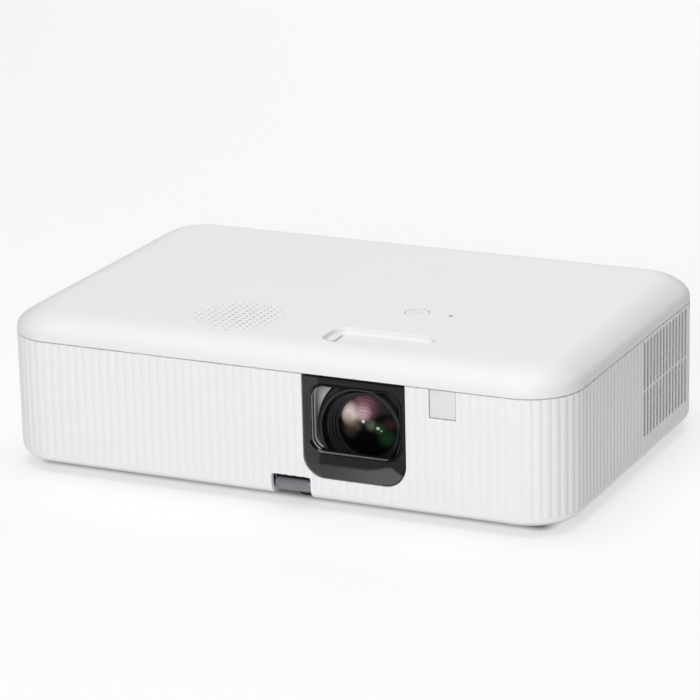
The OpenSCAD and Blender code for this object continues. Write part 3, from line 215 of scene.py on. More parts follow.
class Finish(Bench):
    """A material on one Principled shader, with the bits that most finishes share."""

    def __init__(self, name, colour, roughness, **sockets):
        self.material = bpy.data.materials.new(name)
        self.material.use_nodes = True
        super().__init__(self.material.node_tree)
        self.shader = self.tree.nodes["Principled BSDF"]
        self.material.diffuse_color = (*colour, 1)
        self.colour = colour
        self.place = self.node("ShaderNodeTexCoord", out="Object")
        self.set(Base_Color=(*colour, 1), Roughness=roughness, **sockets)

    def set(self, **sockets):
        for key, value in sockets.items():
            self.feed(self.shader.inputs[key.replace("_", " ")], value)
        return self

    def axes(self, origin=(0, 0, 0)):
        """The place on the piece as three numbers, from the given origin."""
        split = self.node("ShaderNodeSeparateXYZ", {}, {"Vector": self.place}).socket.node
        return [Wire(self, socket) - start for socket, start in zip(split.outputs, origin)]

    def noise(self, size, detail=2.0, stretch=(1, 1, 1)):
        """Noise whose grains are about size metres across, from 0 to 1."""
        place = self.node("ShaderNodeMapping", {}, {"Vector": self.place, "Scale": stretch})
        return self.node("ShaderNodeTexNoise", {}, {"Vector": place, "Scale": 1 / size, "Detail": detail})

    def tint(self, factor, a, b):
        """A colour between a and b, each a colour or a wire."""
        a, b = (c if isinstance(c, Wire) else (*c, 1) for c in (a, b))
        return self.node("ShaderNodeMix", {"data_type": "RGBA"}, {0: factor, COLOUR_A: a, COLOUR_B: b},
                         out=COLOUR_RESULT)

    def mottle(self, size, spread):
        """Lets the colour drift by the given share over patches of the given size."""
        light = tuple(min(1, c * (1 + spread)) for c in self.colour)
        dark = tuple(c * (1 - spread) for c in self.colour)
        self.drift = self.tint(self.noise(size), dark, light)
        return self.set(Base_Color=self.drift)

    def grain(self, size, height, roughness, spread, stretch=(1, 1, 1)):
        """A moulded or sanded skin: bumps of a given size and height, and roughness that varies with them."""
        noise = self.noise(size, 3.0, stretch)
        bump = self.node("ShaderNodeBump", {}, {"Strength": 0.5, "Distance": height, "Height": noise})
        return self.set(Normal=bump, Roughness=noise * spread + (roughness - spread / 2))


WHITE = (0.795, 0.80, 0.81)


def white_moulding(name="white moulding"):
    """Matte white housing plastic with a fine spark-eroded skin, and painted shade that greys it towards the
    underside.
    """
    plastic = Finish(name, WHITE, 0.46, Specular_IOR_Level=0.42)
    plastic.mottle(0.03, 0.01).grain(0.00032, 0.000012, 0.47, 0.08)
    # Painted shade: the colour greys over the lowest few millimetres, where the underside turns from the light;
    # drift carries it on.
    reach, share, grey = 5.5 * MM, 0.75, (0.3, 0.3, 0.31)
    low = plastic.axes((0, 0, FOOT))[2].fade(0, reach)
    plastic.drift = plastic.tint(low * low * share, plastic.drift, grey)
    return plastic.set(Base_Color=plastic.drift)


def key_print():
    """White moulding with the common power sign printed on the key, its open side towards the front."""
    plastic = white_moulding("printed key")
    radius, line, opening = 2.5 * MM, 0.42 * MM, 0.95 * MM
    cover, ink = 0.55, (0.32, 0.33, 0.35)
    x, y, _ = plastic.axes(KEY)
    ring = (abs(x.length(y) - radius) < line / 2) * (1 - (abs(x) < opening) * (y < 0))
    bar = (abs(x) < line / 2) * (abs(y + 0.65 * radius) < 0.6 * radius)
    return plastic.set(Base_Color=plastic.tint((ring + bar) * cover, plastic.drift, ink))


def gloss_black():
    """Black plastic of the lens surround, with extra coat painted on its lip, its lower band and its left edge as
    painted reflection.
    """
    gloss = Finish("gloss black", (0.004, 0.004, 0.0043), 0.2, Specular_IOR_Level=0.24, Coat_Roughness=0.2,
                   Coat_IOR=1.8).mottle(0.01, 0.1).grain(0.004, 0.000005, 0.2, 0.06)
    # Painted reflection: the coat is laid on by place, so the lip, a lower band and the left edge mirror more of
    # the lamps and floor than the rest of the face.
    x, y, z = gloss.axes((LENS.x, FRONT, FOOT))
    soft, lip_behind, lip_share, left_share = 1 * MM, 1.42 * MM, 0.4, 0.35
    band_low, rise, fall = 20.5 * MM, 3 * MM, 0.55
    step = x.fade(22 * MM, 6 * MM) * rise
    band_high = step + band_low - (x - MOUTH_SIDE).at_least(0) * fall
    band = (z - band_high).fade(-soft, soft)
    band_painted_sheen = band * (0.5 + 0.5 * x.fade(16 * MM, -16 * MM))
    left_painted_sheen = x.fade(-MOUTH_SIDE - soft, -MOUTH_SIDE + soft) * (1 - band) * left_share
    lip_painted_sheen = (y > lip_behind) * lip_share
    return gloss.set(Coat_Weight=lip_painted_sheen.at_least(band_painted_sheen + left_painted_sheen))


def satin_black(name="satin black", colour=(0.011, 0.011, 0.012), roughness=0.42):
    """Dark engineering plastic with a fine grain."""
    return Finish(name, colour, roughness, Specular_IOR_Level=0.4).mottle(0.004, 0.12).grain(
        0.0003, 0.00001, roughness, 0.12)


def tunnel_grey():
    """Light grey plastic of the tunnel round the lens."""
    return Finish("tunnel grey", (0.62, 0.62, 0.63), 0.4).mottle(0.01, 0.04).grain(0.0004, 0.00001, 0.4, 0.1)


def slate_plastic():
    """Grey plastic of the foot's lever, with painted shade that turns it nearly black behind the front of the bar.
    """
    slate = Finish("slate plastic", (0.18, 0.185, 0.2), 0.36)
    slate.mottle(0.006, 0.05).grain(0.0003, 0.000012, 0.36, 0.1)
    # Painted shade: behind the front of the bar, where the notch shades the lever, the colour goes nearly black.
    tip = slate.axes(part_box("foot_lever")[0])[1].fade(0.5 * MM, 2.1 * MM)
    return slate.set(Base_Color=slate.tint(tip, (0.02, 0.021, 0.024), slate.drift))


def receiver_grey():
    """Pale tinted window of the remote receiver."""
    return Finish("receiver grey", (0.70, 0.705, 0.72), 0.3).mottle(0.008, 0.015).grain(
        0.001, 0.000003, 0.3, 0.05)


def smoked_pipe():
    """Dark clear plastic over the status light."""
    return Finish("smoked light pipe", (0.03, 0.032, 0.036), 0.2).mottle(0.001, 0.1)


def black_rubber():
    """Soft dull rubber of the feet."""
    return Finish("black rubber", (0.02, 0.02, 0.02), 0.75).mottle(0.003, 0.2).grain(
        0.0004, 0.00003, 0.75, 0.12)


def open_foam():
    """Open-cell foam of the air filter: a lighter web round cells painted dark as shade in their hollows."""
    foam = Finish("filter foam", (0.03, 0.03, 0.032), 0.95)
    cell = 1.1 * MM
    web = foam.node("ShaderNodeTexVoronoi", {"feature": "DISTANCE_TO_EDGE"},
                    {"Vector": foam.place, "Scale": 1 / cell})
    bump = foam.node("ShaderNodeBump", {}, {"Strength": 0.8, "Distance": 0.4 * MM, "Height": 1 - web})
    # Painted shade: the colour darkens towards the middle of each cell, where the bump sinks it.
    shade = foam.tint(web.math("MINIMUM", 1.0), (0.05, 0.05, 0.052), (0.006, 0.006, 0.007))
    return foam.set(Base_Color=shade, Normal=bump)


def pressed_paper():
    """Fibrous paper of the speaker's cone."""
    return Finish("pressed paper", (0.035, 0.035, 0.036), 0.9).mottle(0.002, 0.3).grain(
        0.0006, 0.00004, 0.9, 0.1)


def metal(name, colour, roughness, stretch=(1, 1, 1)):
    """Bare or plated metal; stretch draws its grain out along an axis."""
    return Finish(name, colour, roughness, Metallic=1.0).mottle(0.002, 0.06).grain(
        0.0004, 0.000006, roughness, 0.15, stretch)


def circuit_board(name, mask, copper):
    """Solder mask over a pattern of tracks and ground planes."""
    board = Finish(name, mask, 0.35).grain(0.0008, 0.00001, 0.35, 0.15)
    tracks = board.node("ShaderNodeTexBrick", {"offset": 0.37},
                        {"Vector": board.place, "Scale": 260.0, "Mortar Size": 0.03}, out="Fac")
    return board.set(Base_Color=board.tint(tracks * 0.6 + board.noise(0.004) * 0.3, mask, copper))


# Reflections painted on the front glass, standing in for what its coatings and inner lenses mirror: place across
# and up, reach, softness, colour and strength.
# Places and reaches are shares of the glass's radius; the last three rows are small painted highlights.
PAINTED_REFLECTIONS = (
    ((-0.15, 0.60), 0.62, 0.80, (0.24, 0.105, 0.135), 1.0),
    ((-0.14, 0.42), 0.35, 0.85, (0.68, 0.47, 0.51), 0.85),
    ((-0.62, 0.32), 0.46, 0.85, (0.92, 0.74, 0.72), 1.0),
    ((-0.62, 0.12), 0.32, 0.85, (0.55, 0.44, 0.36), 0.9),
    ((-0.36, 0.02), 0.26, 0.85, (0.12, 0.09, 0.065), 0.7),
    ((-0.64, -0.14), 0.42, 0.9, (0.06, 0.052, 0.033), 0.8),
    ((0.14, 0.07), 0.24, 0.85, (0.10, 0.135, 0.085), 0.9),
    ((0.42, -0.04), 0.26, 0.9, (0.03, 0.055, 0.028), 0.9),
    ((0.64, -0.36), 0.40, 0.9, (0.015, 0.045, 0.02), 1.0),
    ((0.72, 0.12), 0.30, 0.9, (0.034, 0.014, 0.013), 0.9),
    ((-0.11, 0.17), 0.075, 0.7, (0.80, 0.85, 0.74), 1.0),
    ((0.36, -0.01), 0.07, 0.7, (0.50, 0.80, 0.50), 1.0),
    ((0.46, -0.09), 0.045, 0.7, (0.35, 0.7, 0.35), 0.8),
)


def glass_with_painted_reflections():
    """Dark lens glass with painted reflections: rose above, green below, pale towards the open side, and faint
    arcs of the inner rings.
    """
    colour = (0.003, 0.003, 0.0035)
    glass = Finish("coated glass", colour, 0.15, Specular_IOR_Level=0.03)
    x, _, z = glass.axes(LENS)
    across, up = x / GLASS_R, z / GLASS_R
    swirl = (glass.noise(5 * MM, 2.0, (1, 1, 3)) - 0.5) * 0.22
    # Painted reflections: each spot tints the glass's colour by its place on the glass.
    for (u, v), reach, soft, tint, strength in PAINTED_REFLECTIONS:
        away = (across - u).length(up - v) + swirl * reach
        colour = glass.tint(away.fade(reach * (1 - soft), reach) * strength, colour, tint)
    closeness, drift, share, ring_reflection_plum = 60, 20, 0.35, (0.05, 0.018, 0.025)
    # Painted reflections of the inner rings: faint plum arcs over the upper part of the glass.
    painted_ring_reflections = ((across + 0.1).length(up - 0.1) * closeness + swirl * drift).math("SINE") * 0.5 + 0.5
    upper = (across - 0.1).length(up - 0.62).fade(0.2, 0.6)
    return glass.set(Base_Color=glass.tint(painted_ring_reflections * upper * share, colour, ring_reflection_plum))


def clear_glass():
    """Glass of the inner lenses and the prism."""
    glass = Finish("clear glass", (0.85, 0.93, 0.95), 0.03, Transmission_Weight=0.9, IOR=1.5)
    return glass.mottle(0.01, 0.02)


def panel_glass():
    """Dark bluish glass of the picture panels."""
    return Finish("panel glass", (0.12, 0.15, 0.22), 0.15).mottle(0.002, 0.1)


finishes = {
    "white_case": white_moulding(),
    "white_inner": white_moulding("white inner moulding"),
    "black_gloss": gloss_black(),
    "black_matte": satin_black(),
    "grey_shroud": tunnel_grey(),
    "grey_lever": slate_plastic(),
    "remote_grey": receiver_grey(),
    "light_pipe": smoked_pipe(),
    "rubber_foot": black_rubber(),
    "filter_foam": open_foam(),
    "cone_paper": pressed_paper(),
    "steel_screw": metal("zinc steel", (0.6, 0.6, 0.62), 0.3),
    "brass_insert": metal("turned brass", (0.75, 0.55, 0.25), 0.28),
    "board_green": circuit_board("green board", (0.01, 0.09, 0.035), (0.03, 0.2, 0.09)),
    "board_brown": circuit_board("brown board", (0.2, 0.11, 0.04), (0.3, 0.2, 0.09)),
    "socket_metal": metal("tinned steel", (0.7, 0.7, 0.71), 0.32, (1, 1, 6)),
    "engine_resin": satin_black("filled resin", (0.03, 0.03, 0.033), 0.6),
    "lens_glass": glass_with_painted_reflections(),
    "clear_glass": clear_glass(),
    "panel_glass": panel_glass(),
    "mirror_coat": metal("mirror coat", (0.8, 0.83, 0.86), 0.06),
}
FINISHES = {slot: finish.material for slot, finish in finishes.items()}
KEY_PRINT = key_print().material
SLOT_OF = {part["node"]: part["material_slot"] for part in frame["record"]["subparts"]}
BODY_OF = {node: body for body, nodes in frame["record"]["behaviour"]["bodies"].items() for node in nodes}

for name, node in frame["nodes"].items():
    node.data.materials.clear()
    node.data.materials.append(FINISHES[SLOT_OF[name]])


# ---------------------------------------------------------------- making pieces

def new_piece(name, work, smooth=35):
    """Turns a bmesh into an object, smooth wherever faces meet at less than the given angle."""
    bmesh.ops.recalc_face_normals(work, faces=work.faces)
    mesh = bpy.data.meshes.new(name)
    work.to_mesh(mesh)
    work.free()
    soften(mesh, smooth)
    return put(name, mesh)


def put(name, mesh):
    """Puts a mesh into the scene as an object."""
    piece = bpy.data.objects.new(name, mesh)
    bpy.context.scene.collection.objects.link(piece)
    return piece


def soften(mesh, angle):
    """Shades a mesh smooth, but for edges that turn by more than the given angle."""
    mesh.shade_smooth()
    mesh.set_sharp_from_angle(angle=math.radians(angle))


def settle(piece):
    """Makes what the modifiers give the piece's own mesh."""
    view = bpy.context.evaluated_depsgraph_get()
    mesh = bpy.data.meshes.new_from_object(piece.evaluated_get(view))
    piece.modifiers.clear()
    piece.data = mesh
    return piece


def cut(piece, cutter, keep="DIFFERENCE", smooth=35):
    """Cuts one closed mesh with another and drops the cutter."""
    step = piece.modifiers.new("cut", "BOOLEAN")
    step.operation, step.object, step.solver = keep, cutter, "MANIFOLD"
    settle(piece)
    bpy.data.objects.remove(cutter)
    soften(piece.data, smooth)
    return piece


def finish_piece(piece, node, finish=None):
    """Gives a piece the finish, slot and body of the node that it stands for."""
    piece.data.materials.clear()
    piece.data.materials.append(finish or FINISHES[SLOT_OF[node]])
    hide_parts(node)
    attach(piece, BODY_OF[node])
    return piece


def skin(work, rings, closed=False, caps=True):
    """Joins rings of equal length with faces; closed joins the last ring to the first."""
    made = [[work.verts.new(p) for p in ring] for ring in rings]
    pairs = list(zip(made, made[1:])) + ([(made[-1], made[0])] if closed else [])
    for a, b in pairs:
        count = len(a)
        for i in range(count):
            work.faces.new((a[i], a[(i + 1) % count], b[(i + 1) % count], b[i]))
    if caps and not closed:
        work.faces.new(made[0])
        work.faces.new(made[-1])
    return made


def rounded(width, height, radii, steps=8):
    """Points of a rectangle about the origin, with four corner radii, anticlockwise from low right."""
    points = []
    corners = ((1, -1), (1, 1), (-1, 1), (-1, -1))
    for k, ((sx, sy), r) in enumerate(zip(corners, radii)):
        cx, cy = sx * (width / 2 - r), sy * (height / 2 - r)
        for i in range(steps + 1):
            a = math.radians(-90 + 90 * k + 90 * i / steps)
            points.append((cx + r * math.cos(a), cy + r * math.sin(a)))
    return points


def circle(r, steps):
    """Points of a circle about the origin."""
    turns = [2 * math.pi * k / steps for k in range(steps)]
    return [(r * math.cos(a), r * math.sin(a)) for a in turns]


def upright(work, points, centre, low, high):
    """A solid that stands on an outline in X and Y."""
    skin(work, [[(centre[0] + u, centre[1] + v, z) for u, v in points] for z in (low, high)])


def through_front(work, points, centre, deep):
    """A cutter through the front wall, on an outline in X and Z."""
    skin(work, [[(centre[0] + u, y, centre[1] + v) for u, v in points] for y in (FRONT - PAST, FRONT + deep)])


def block(work, low, high):
    """A box between two opposite corners."""
    points = [(low[0], low[1]), (high[0], low[1]), (high[0], high[1]), (low[0], high[1])]
    upright(work, points, (0, 0), low[2], high[2])


def turned(profile, steps=128):
    """Turns a closed profile, of radius and distance behind the front in millimetres, about the lens axis."""
    rings = [[LENS + Vector((r * u, behind, r * v)) * MM for r, behind in profile]
             for u, v in circle(1, steps)]
    work = bmesh.new()
    skin(work, rings, closed=True)
    return work


def copied(node):
    """A closed copy of a CAD node's mesh, its loose triangles joined."""
    work = bmesh.new()
    work.from_mesh(frame["nodes"][node].data)
    bmesh.ops.remove_doubles(work, verts=work.verts, dist=TINY)
    bmesh.ops.dissolve_limit(work, angle_limit=math.radians(1), verts=work.verts, edges=work.edges)
    mesh = bpy.data.meshes.new(node + ".eased")
    work.to_mesh(mesh)
    work.free()
    return put(node + ".eased", mesh)


def ease(piece, width=0.25 * MM, segments=2, sharp=30):
    """Rounds the edges of a piece that meet at more than the given angle."""
    step = piece.modifiers.new("ease", "BEVEL")
    step.width, step.segments, step.limit_method = width, segments, "ANGLE"
    step.angle_limit = math.radians(sharp)
    settle(piece)
    soften(piece.data, 40)
    return piece


# ---------------------------------------------------------------- recipes for what repeats

class Recipe(Bench):
    """A geometry tree with named sizes. It ends in real faces that carry one finish."""

    def __init__(self, name, **sizes):
        super().__init__(bpy.data.node_groups.new(name, "GeometryNodeTree"))
        self.sizes = sizes
        sockets = self.tree.interface
        sockets.new_socket("Geometry", in_out="INPUT", socket_type="NodeSocketGeometry")
        sockets.new_socket("Geometry", in_out="OUTPUT", socket_type="NodeSocketGeometry")
        for key, value in sizes.items():
            kind = "NodeSocketInt" if isinstance(value, int) else "NodeSocketFloat"
            sockets.new_socket(key, in_out="INPUT", socket_type=kind)
        source = self.tree.nodes.new("NodeGroupInput")
        self.given = {socket.name: Wire(self, socket) for socket in source.outputs if socket.name}

    def vector(self, x=0.0, y=0.0, z=0.0):
        """A place or size from three numbers or wires."""
        return self.node("ShaderNodeCombineXYZ", {}, {"X": x, "Y": y, "Z": z})

    def named(self, name, kind="FLOAT"):
        """What the piece stores under a name at each point."""
        return self.node("GeometryNodeInputNamedAttribute", {"data_type": kind}, {"Name": name})

    def repeat(self, points, shape, **how):
        """One shape at every point."""
        return self.node("GeometryNodeInstanceOnPoints", {}, {"Points": points, "Instance": shape, **how})

    def run(self, geometry, slot, piece):
        """Ends the tree, runs it once on a piece and keeps the mesh."""
        real = self.node("GeometryNodeRealizeInstances", {}, {"Geometry": geometry})
        coated = self.node("GeometryNodeSetMaterial", {}, {"Geometry": real, "Material": FINISHES[slot]})
        self.feed(self.tree.nodes.new("NodeGroupOutput").inputs[0], coated)
        step = piece.modifiers.new(self.tree.name, "NODES")
        step.node_group = self.tree
        for item in self.tree.interface.items_tree:
            if item.in_out == "INPUT" and item.name in self.sizes:
                step[item.identifier] = self.sizes[item.name]
        return settle(piece)


def flute(piece):
    """Presses a sharp groove into the wall between each pair of convex flutes."""
    recipe = Recipe("flutes", Depth=FLUTE_DEPTH)
    across = recipe.named("flute").math("FRACT") * 2 - 1
    groove = (across * across * recipe.given["Depth"] - recipe.named("inset")).at_least(0)
    shift = recipe.node("ShaderNodeVectorMath", {"operation": "SCALE"},
                        {0: recipe.named("outward", "FLOAT_VECTOR"), "Scale": -groove})
    moved = recipe.node("GeometryNodeSetPosition", {},
                        {"Geometry": recipe.given["Geometry"], "Offset": shift})
    recipe.run(moved, "white_case", piece)
    for attribute in ("flute", "inset", "outward"):
        piece.data.attributes.remove(piece.data.attributes[attribute])
    return piece


def slot_row(name, places, low, high, width, deep, outer):
    """Cutters for a row of upright slots in a side wall, at even places along Y, sunk from its outer face."""
    recipe = Recipe(name, Count=len(places), Pitch=places[1] - places[0], Start=places[0], Width=width,
                    Height=high - low, Middle=(low + high) / 2, Round=0.5 * MM,
                    Inner=outer - math.copysign(deep, outer), Outer=outer + math.copysign(PAST, outer))
    given = recipe.given
    outline = recipe.node("GeometryNodeCurvePrimitiveQuadrilateral", {},
                          {"Width": given["Width"], "Height": given["Height"]})
    outline = recipe.node("GeometryNodeFilletCurve", {"mode": "POLY"},
                          {"Curve": outline, "Radius": given["Round"], "Count": 3})
    path = recipe.node("GeometryNodeCurvePrimitiveLine", {},
                       {"Start": recipe.vector(given["Inner"]), "End": recipe.vector(given["Outer"])})
    punch = recipe.node("GeometryNodeCurveToMesh", {},
                        {"Curve": path, "Profile Curve": outline, "Fill Caps": True})
    line = recipe.node("GeometryNodeMeshLine", {}, {
        "Count": given["Count"], "Start Location": recipe.vector(0.0, given["Start"], given["Middle"]),
        "Offset": recipe.vector(0.0, given["Pitch"])})
    return recipe.run(recipe.repeat(line, punch), "white_case", put(name, bpy.data.meshes.new(name)))


def perforations(name):
    """Punches for the speaker: a square lattice of round holes in a circle, smaller towards its edge."""
    recipe = Recipe(name, Pitch=4.05 * MM, Field=25.2 * MM, Hole=0.9 * MM, Taper=0.45, Across=13, Sides=16,
                    Deep=8 * MM)
    given = recipe.given
    side = given["Pitch"] * (given["Across"] - 1)
    grid = recipe.node("GeometryNodeMeshGrid", {}, {
        "Size X": side, "Size Y": side, "Vertices X": given["Across"], "Vertices Y": given["Across"]})
    spot = recipe.node("GeometryNodeInputPosition")
    distance = recipe.node("ShaderNodeVectorMath", {"operation": "LENGTH"}, {0: spot}, out="Value")
    inside = recipe.node("GeometryNodeDeleteGeometry", {"domain": "POINT"},
                         {"Geometry": grid, "Selection": distance > given["Field"]})
    punch = recipe.node("GeometryNodeMeshCylinder", {},
                        {"Vertices": given["Sides"], "Radius": 1.0, "Depth": given["Deep"]})
    share = distance / given["Field"]
    size = given["Hole"] * (1 - share * share * given["Taper"])
    placed = recipe.repeat(inside, punch, Scale=recipe.vector(size, size, 1.0))
    piece = recipe.run(placed, "white_case", put(name, bpy.data.meshes.new(name)))
    piece.data.transform(Matrix.Translation((SPEAKER.x, SPEAKER.y, TOP)))
    return piece


def grip_ridges():
    """Ridges round the skirt of the focus ring, for a fingertip."""
    recipe = Recipe("grip_ridges", Count=72, Radius=25.85 * MM, Rise=0.45 * MM, Sides=6, Length=11 * MM,
                    Middle=20 * MM)
    given = recipe.given
    around = recipe.node("GeometryNodeMeshCircle", {},
                         {"Vertices": given["Count"], "Radius": given["Radius"]})
    bar = recipe.node("GeometryNodeMeshCylinder", {},
                      {"Vertices": given["Sides"], "Radius": given["Rise"], "Depth": given["Length"]})
    bars = recipe.repeat(around, bar)
    turn = recipe.node("FunctionNodeEulerToRotation", {}, {"Euler": (-math.pi / 2, 0, 0)})
    placed = recipe.node("GeometryNodeTransform", {}, {
        "Geometry": bars, "Translation": recipe.vector(0.0, given["Middle"]), "Rotation": turn})
    piece = recipe.run(placed, "black_matte", put("ridges", bpy.data.meshes.new("ridges")))
    piece.data.transform(Matrix.Translation(LENS))
    return piece


# ---------------------------------------------------------------- fluted tub

def case_line(s):
    """Point and outward direction of the case's outline, s metres round from the middle of the front."""
    if s > AROUND / 2:
        (x, y), (nx, ny) = case_line(AROUND - s)
        return (-x, y), (-nx, ny)
    if s < FLAT_W / 2:
        return (s, FRONT), (0, -1)
    s -= FLAT_W / 2
    for start, cy in ((-90, -FLAT_D / 2), (0, FLAT_D / 2)):
        if s < ARC:
            a = math.radians(start) + s / CORNER
            return (FLAT_W / 2 + CORNER * math.cos(a), cy + CORNER * math.sin(a)), (math.cos(a), math.sin(a))
        s -= ARC
        if start == -90:
            if s < FLAT_D:
                return (HALF_W, s - FLAT_D / 2), (1, 0)
            s -= FLAT_D
    return (FLAT_W / 2 - s, HALF_D), (0, 1)


def case_ring(columns, inset, z):
    """The case's outline at one height, drawn in by inset."""
    points = []
    for k in range(columns):
        (x, y), (nx, ny) = case_line(AROUND * k / columns)
        points.append((x - nx * inset, y - ny * inset, z))
    return points


def quarter(r, steps):
    """Points of a quarter round that starts upright at (0, 0) and ends level at (r, r)."""
    for k in range(steps + 1):
        a = math.radians(90 * k / steps)
        yield r * (1 - math.cos(a)), r * math.sin(a)


def fluted_wall():
    """Closed shell of the tub: outside with its flutes, rim, plain inside and floor."""
    columns = FLUTES * FLUTE_STEPS
    inner = BASE_ROUND - WALL
    outside = [(BASE_ROUND - y, FOOT + x) for x, y in quarter(BASE_ROUND, 12)]
    outside += [(0, RIM - EDGE), (EDGE * 0.3, RIM - EDGE * 0.3), (EDGE, RIM)]
    inside = [(WALL, RIM), (WALL, FOOT + BASE_ROUND)]
    inside += [(WALL + x, FOOT + WALL + inner - y) for x, y in quarter(inner, 5)][1:]
    work = bmesh.new()
    flute_layer = work.verts.layers.float.new("flute")
    inset_layer = work.verts.layers.float.new("inset")
    outward_layer = work.verts.layers.float_vector.new("outward")
    rings = skin(work, [case_ring(columns, inset, z) for inset, z in outside + inside])
    for row, ring in enumerate(rings):
        for k, vert in enumerate(ring):
            vert[flute_layer] = k / FLUTE_STEPS + 0.5
            vert[inset_layer] = outside[row][0] if row < len(outside) else WALL
            vert[outward_layer] = (*case_line(AROUND * k / columns)[1], 0)
    return flute(new_piece("tub", work))


def groove_y(k):
    """Place of groove k on a side wall, counted from the front."""
    first = math.ceil((FLAT_W / 2 + ARC) / PITCH - 0.5)
    return (first + k + 0.5) * PITCH - FLAT_W / 2 - ARC - FLAT_D / 2


SLOT_W, EXHAUST_SLOT_W, SLOT_DEEP = 2.3 * MM, 3.1 * MM, 6 * MM
EXHAUST_PLACES = [groove_y(k) for k in range(18, 32)]


def front_openings(work):
    """Cutters for the lens window and the receiver, which run out through the rim, and the foot's lever."""
    through, slight = 4 * MM, 0.5 * MM
    tall = WINDOW_W + 20 * MM
    outline = rounded(WINDOW_W, tall, (WINDOW_ROUND, slight, slight, WINDOW_ROUND), 12)
    through_front(work, outline, (LENS.x, WINDOW_LOW + tall / 2), through)
    low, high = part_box("remote_window")
    lip, tight, tall = 1.8 * MM, 0.1 * MM, 40 * MM
    outline = rounded(high.x - low.x - 2 * lip - tight, tall, [slight] * 4, 5)
    through_front(work, outline, ((low.x + high.x) / 2, low.z + lip + tall / 2), through)
    low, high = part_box("foot_lever")
    gap, behind_gap, notch_top, tall = 0.4 * MM, 0.2 * MM, FOOT + 12.6 * MM, 30 * MM
    outline = rounded(high.x - low.x + 2 * gap, tall, (0.3 * MM, 1.2 * MM, 1.2 * MM, 0.3 * MM), 5)
    through_front(work, outline, ((low.x + high.x) / 2, notch_top - tall / 2), high.y - FRONT + behind_gap)


def side_openings(work):
    """Cutters for the filter in the left wall and the panel in the rear wall."""
    low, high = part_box("filter_cover")
    gap, inward = 0.3 * MM, 4 * MM
    block(work, low - Vector((PAST, gap, gap)), high + Vector((inward, gap, gap)))
    low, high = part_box("rear_panel")
    lip, inward = 3 * MM, 5 * MM
    block(work, (low.x + lip, HALF_D - inward, low.z + lip / 2), (high.x - lip, HALF_D + PAST, high.z - lip))


def base_openings(work):
    """Cutters for the foot, the lamp cover, the case screws and the inserts of a ceiling mount."""
    for node, gap, above in (("foot_post", 0.6 * MM, 5 * MM), ("lamp_cover", 0.25 * MM, 4 * MM)):
        low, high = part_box(node)
        block(work, (low.x - gap, low.y - gap, FOOT - PAST), (high.x + gap, high.y + gap, FOOT + above))
    for node, head, bore in (("case_screws", 3.2 * MM, 3.8 * MM), ("mount_inserts", 2.6 * MM, 2.65 * MM)):
        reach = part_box(node)[1]
        for x, y in ((-1, -1), (-1, 1), (1, -1), (1, 1)):
            upright(work, circle(bore, 32), (x * (reach.x - head), y * (reach.y - head)), FOOT - PAST,
                    FOOT + 4 * MM)


def lock_slot(work):
    """Cutter for the slot of a security lock in the rear wall."""
    x, half_w, low, high = HALF_W - 55 * MM, 3.5 * MM, FOOT + 20 * MM, FOOT + 23 * MM
    block(work, (x - half_w, HALF_D - 6 * MM, low), (x + half_w, HALF_D + PAST, high))


def exhaust(wall):
    """Thins the right wall behind the exhaust, then cuts two rows of slots in its grooves, a bridge apart."""
    low, bridge, high = FOOT + 14 * MM, FOOT + 39 * MM, FOOT + 66 * MM
    half_bridge, rib, groove, ends, spare = 0.5 * MM, 1 * MM, 0.65 * MM, 2.5 * MM, 1 * MM
    work = bmesh.new()
    block(work, (HALF_W - WALL - spare, EXHAUST_PLACES[0] - ends, low - spare),
          (HALF_W - rib, EXHAUST_PLACES[-1] + ends, high + spare))
    cut(wall, new_piece("thin wall cutter", work))
    for name, start, end, deep in (("exhaust_grooves", low, high, groove),
                                   ("exhaust_low", low, bridge - half_bridge, SLOT_DEEP),
                                   ("exhaust_high", bridge + half_bridge, high, SLOT_DEEP)):
        cut(wall, slot_row(name, EXHAUST_PLACES, start, end, EXHAUST_SLOT_W, deep, HALF_W), smooth=50)


def tub(wall):
    """The tub with all of its openings."""
    work = bmesh.new()
    front_openings(work)
    side_openings(work)
    base_openings(work)
    lock_slot(work)
    cut(wall, new_piece("tub cutter", work))
    exhaust(wall)
    return finish_piece(wall, "lower_case")


def filter_door(wall):
    """Door of the air filter: it carries the flutes on across the left wall, with slots in their grooves."""
    low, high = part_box("filter_cover")
    end_margin, margin = 4.6 * MM, 3.6 * MM
    work = bmesh.new()
    block(work, low - Vector((PAST, 0, 0)), high)
    cut(wall, new_piece("door mould", work), "INTERSECT")
    places = [groove_y(k) for k in range(32) if abs(groove_y(k)) < high.y - end_margin]
    cut(wall, slot_row("filter_slots", places, low.z + margin, high.z - margin, SLOT_W, SLOT_DEEP, -HALF_W),
        smooth=50)
    wall.name = "filter_door"
    return finish_piece(wall, "filter_cover")


# ---------------------------------------------------------------- lid

def crown(inset):
    """Lid profile as inset from the wall and height, for a skin that lies inset metres under the outer."""
    reach, rise, side = CROWN_REACH, CROWN_RISE, CROWN_SIDE
    top_r = ((reach - side) ** 2 + rise ** 2 - side ** 2) / (2 * (rise - side))
    small = Vector((side, TOP - rise))
    large = Vector((reach, TOP - top_r))
    lean = math.degrees(math.atan2(small.y - large.y, large.x - small.x))
    points = []
    for centre, r, first, last, steps in ((small, side, 0, lean, 8), (large, top_r, lean, 90, 14)):
        for k in range(1 if first else 0, steps + 1):
            a = math.radians(first + (last - first) * k / steps)
            points.append((centre.x - (r - inset) * math.cos(a), centre.y + (r - inset) * math.sin(a)))
    return points


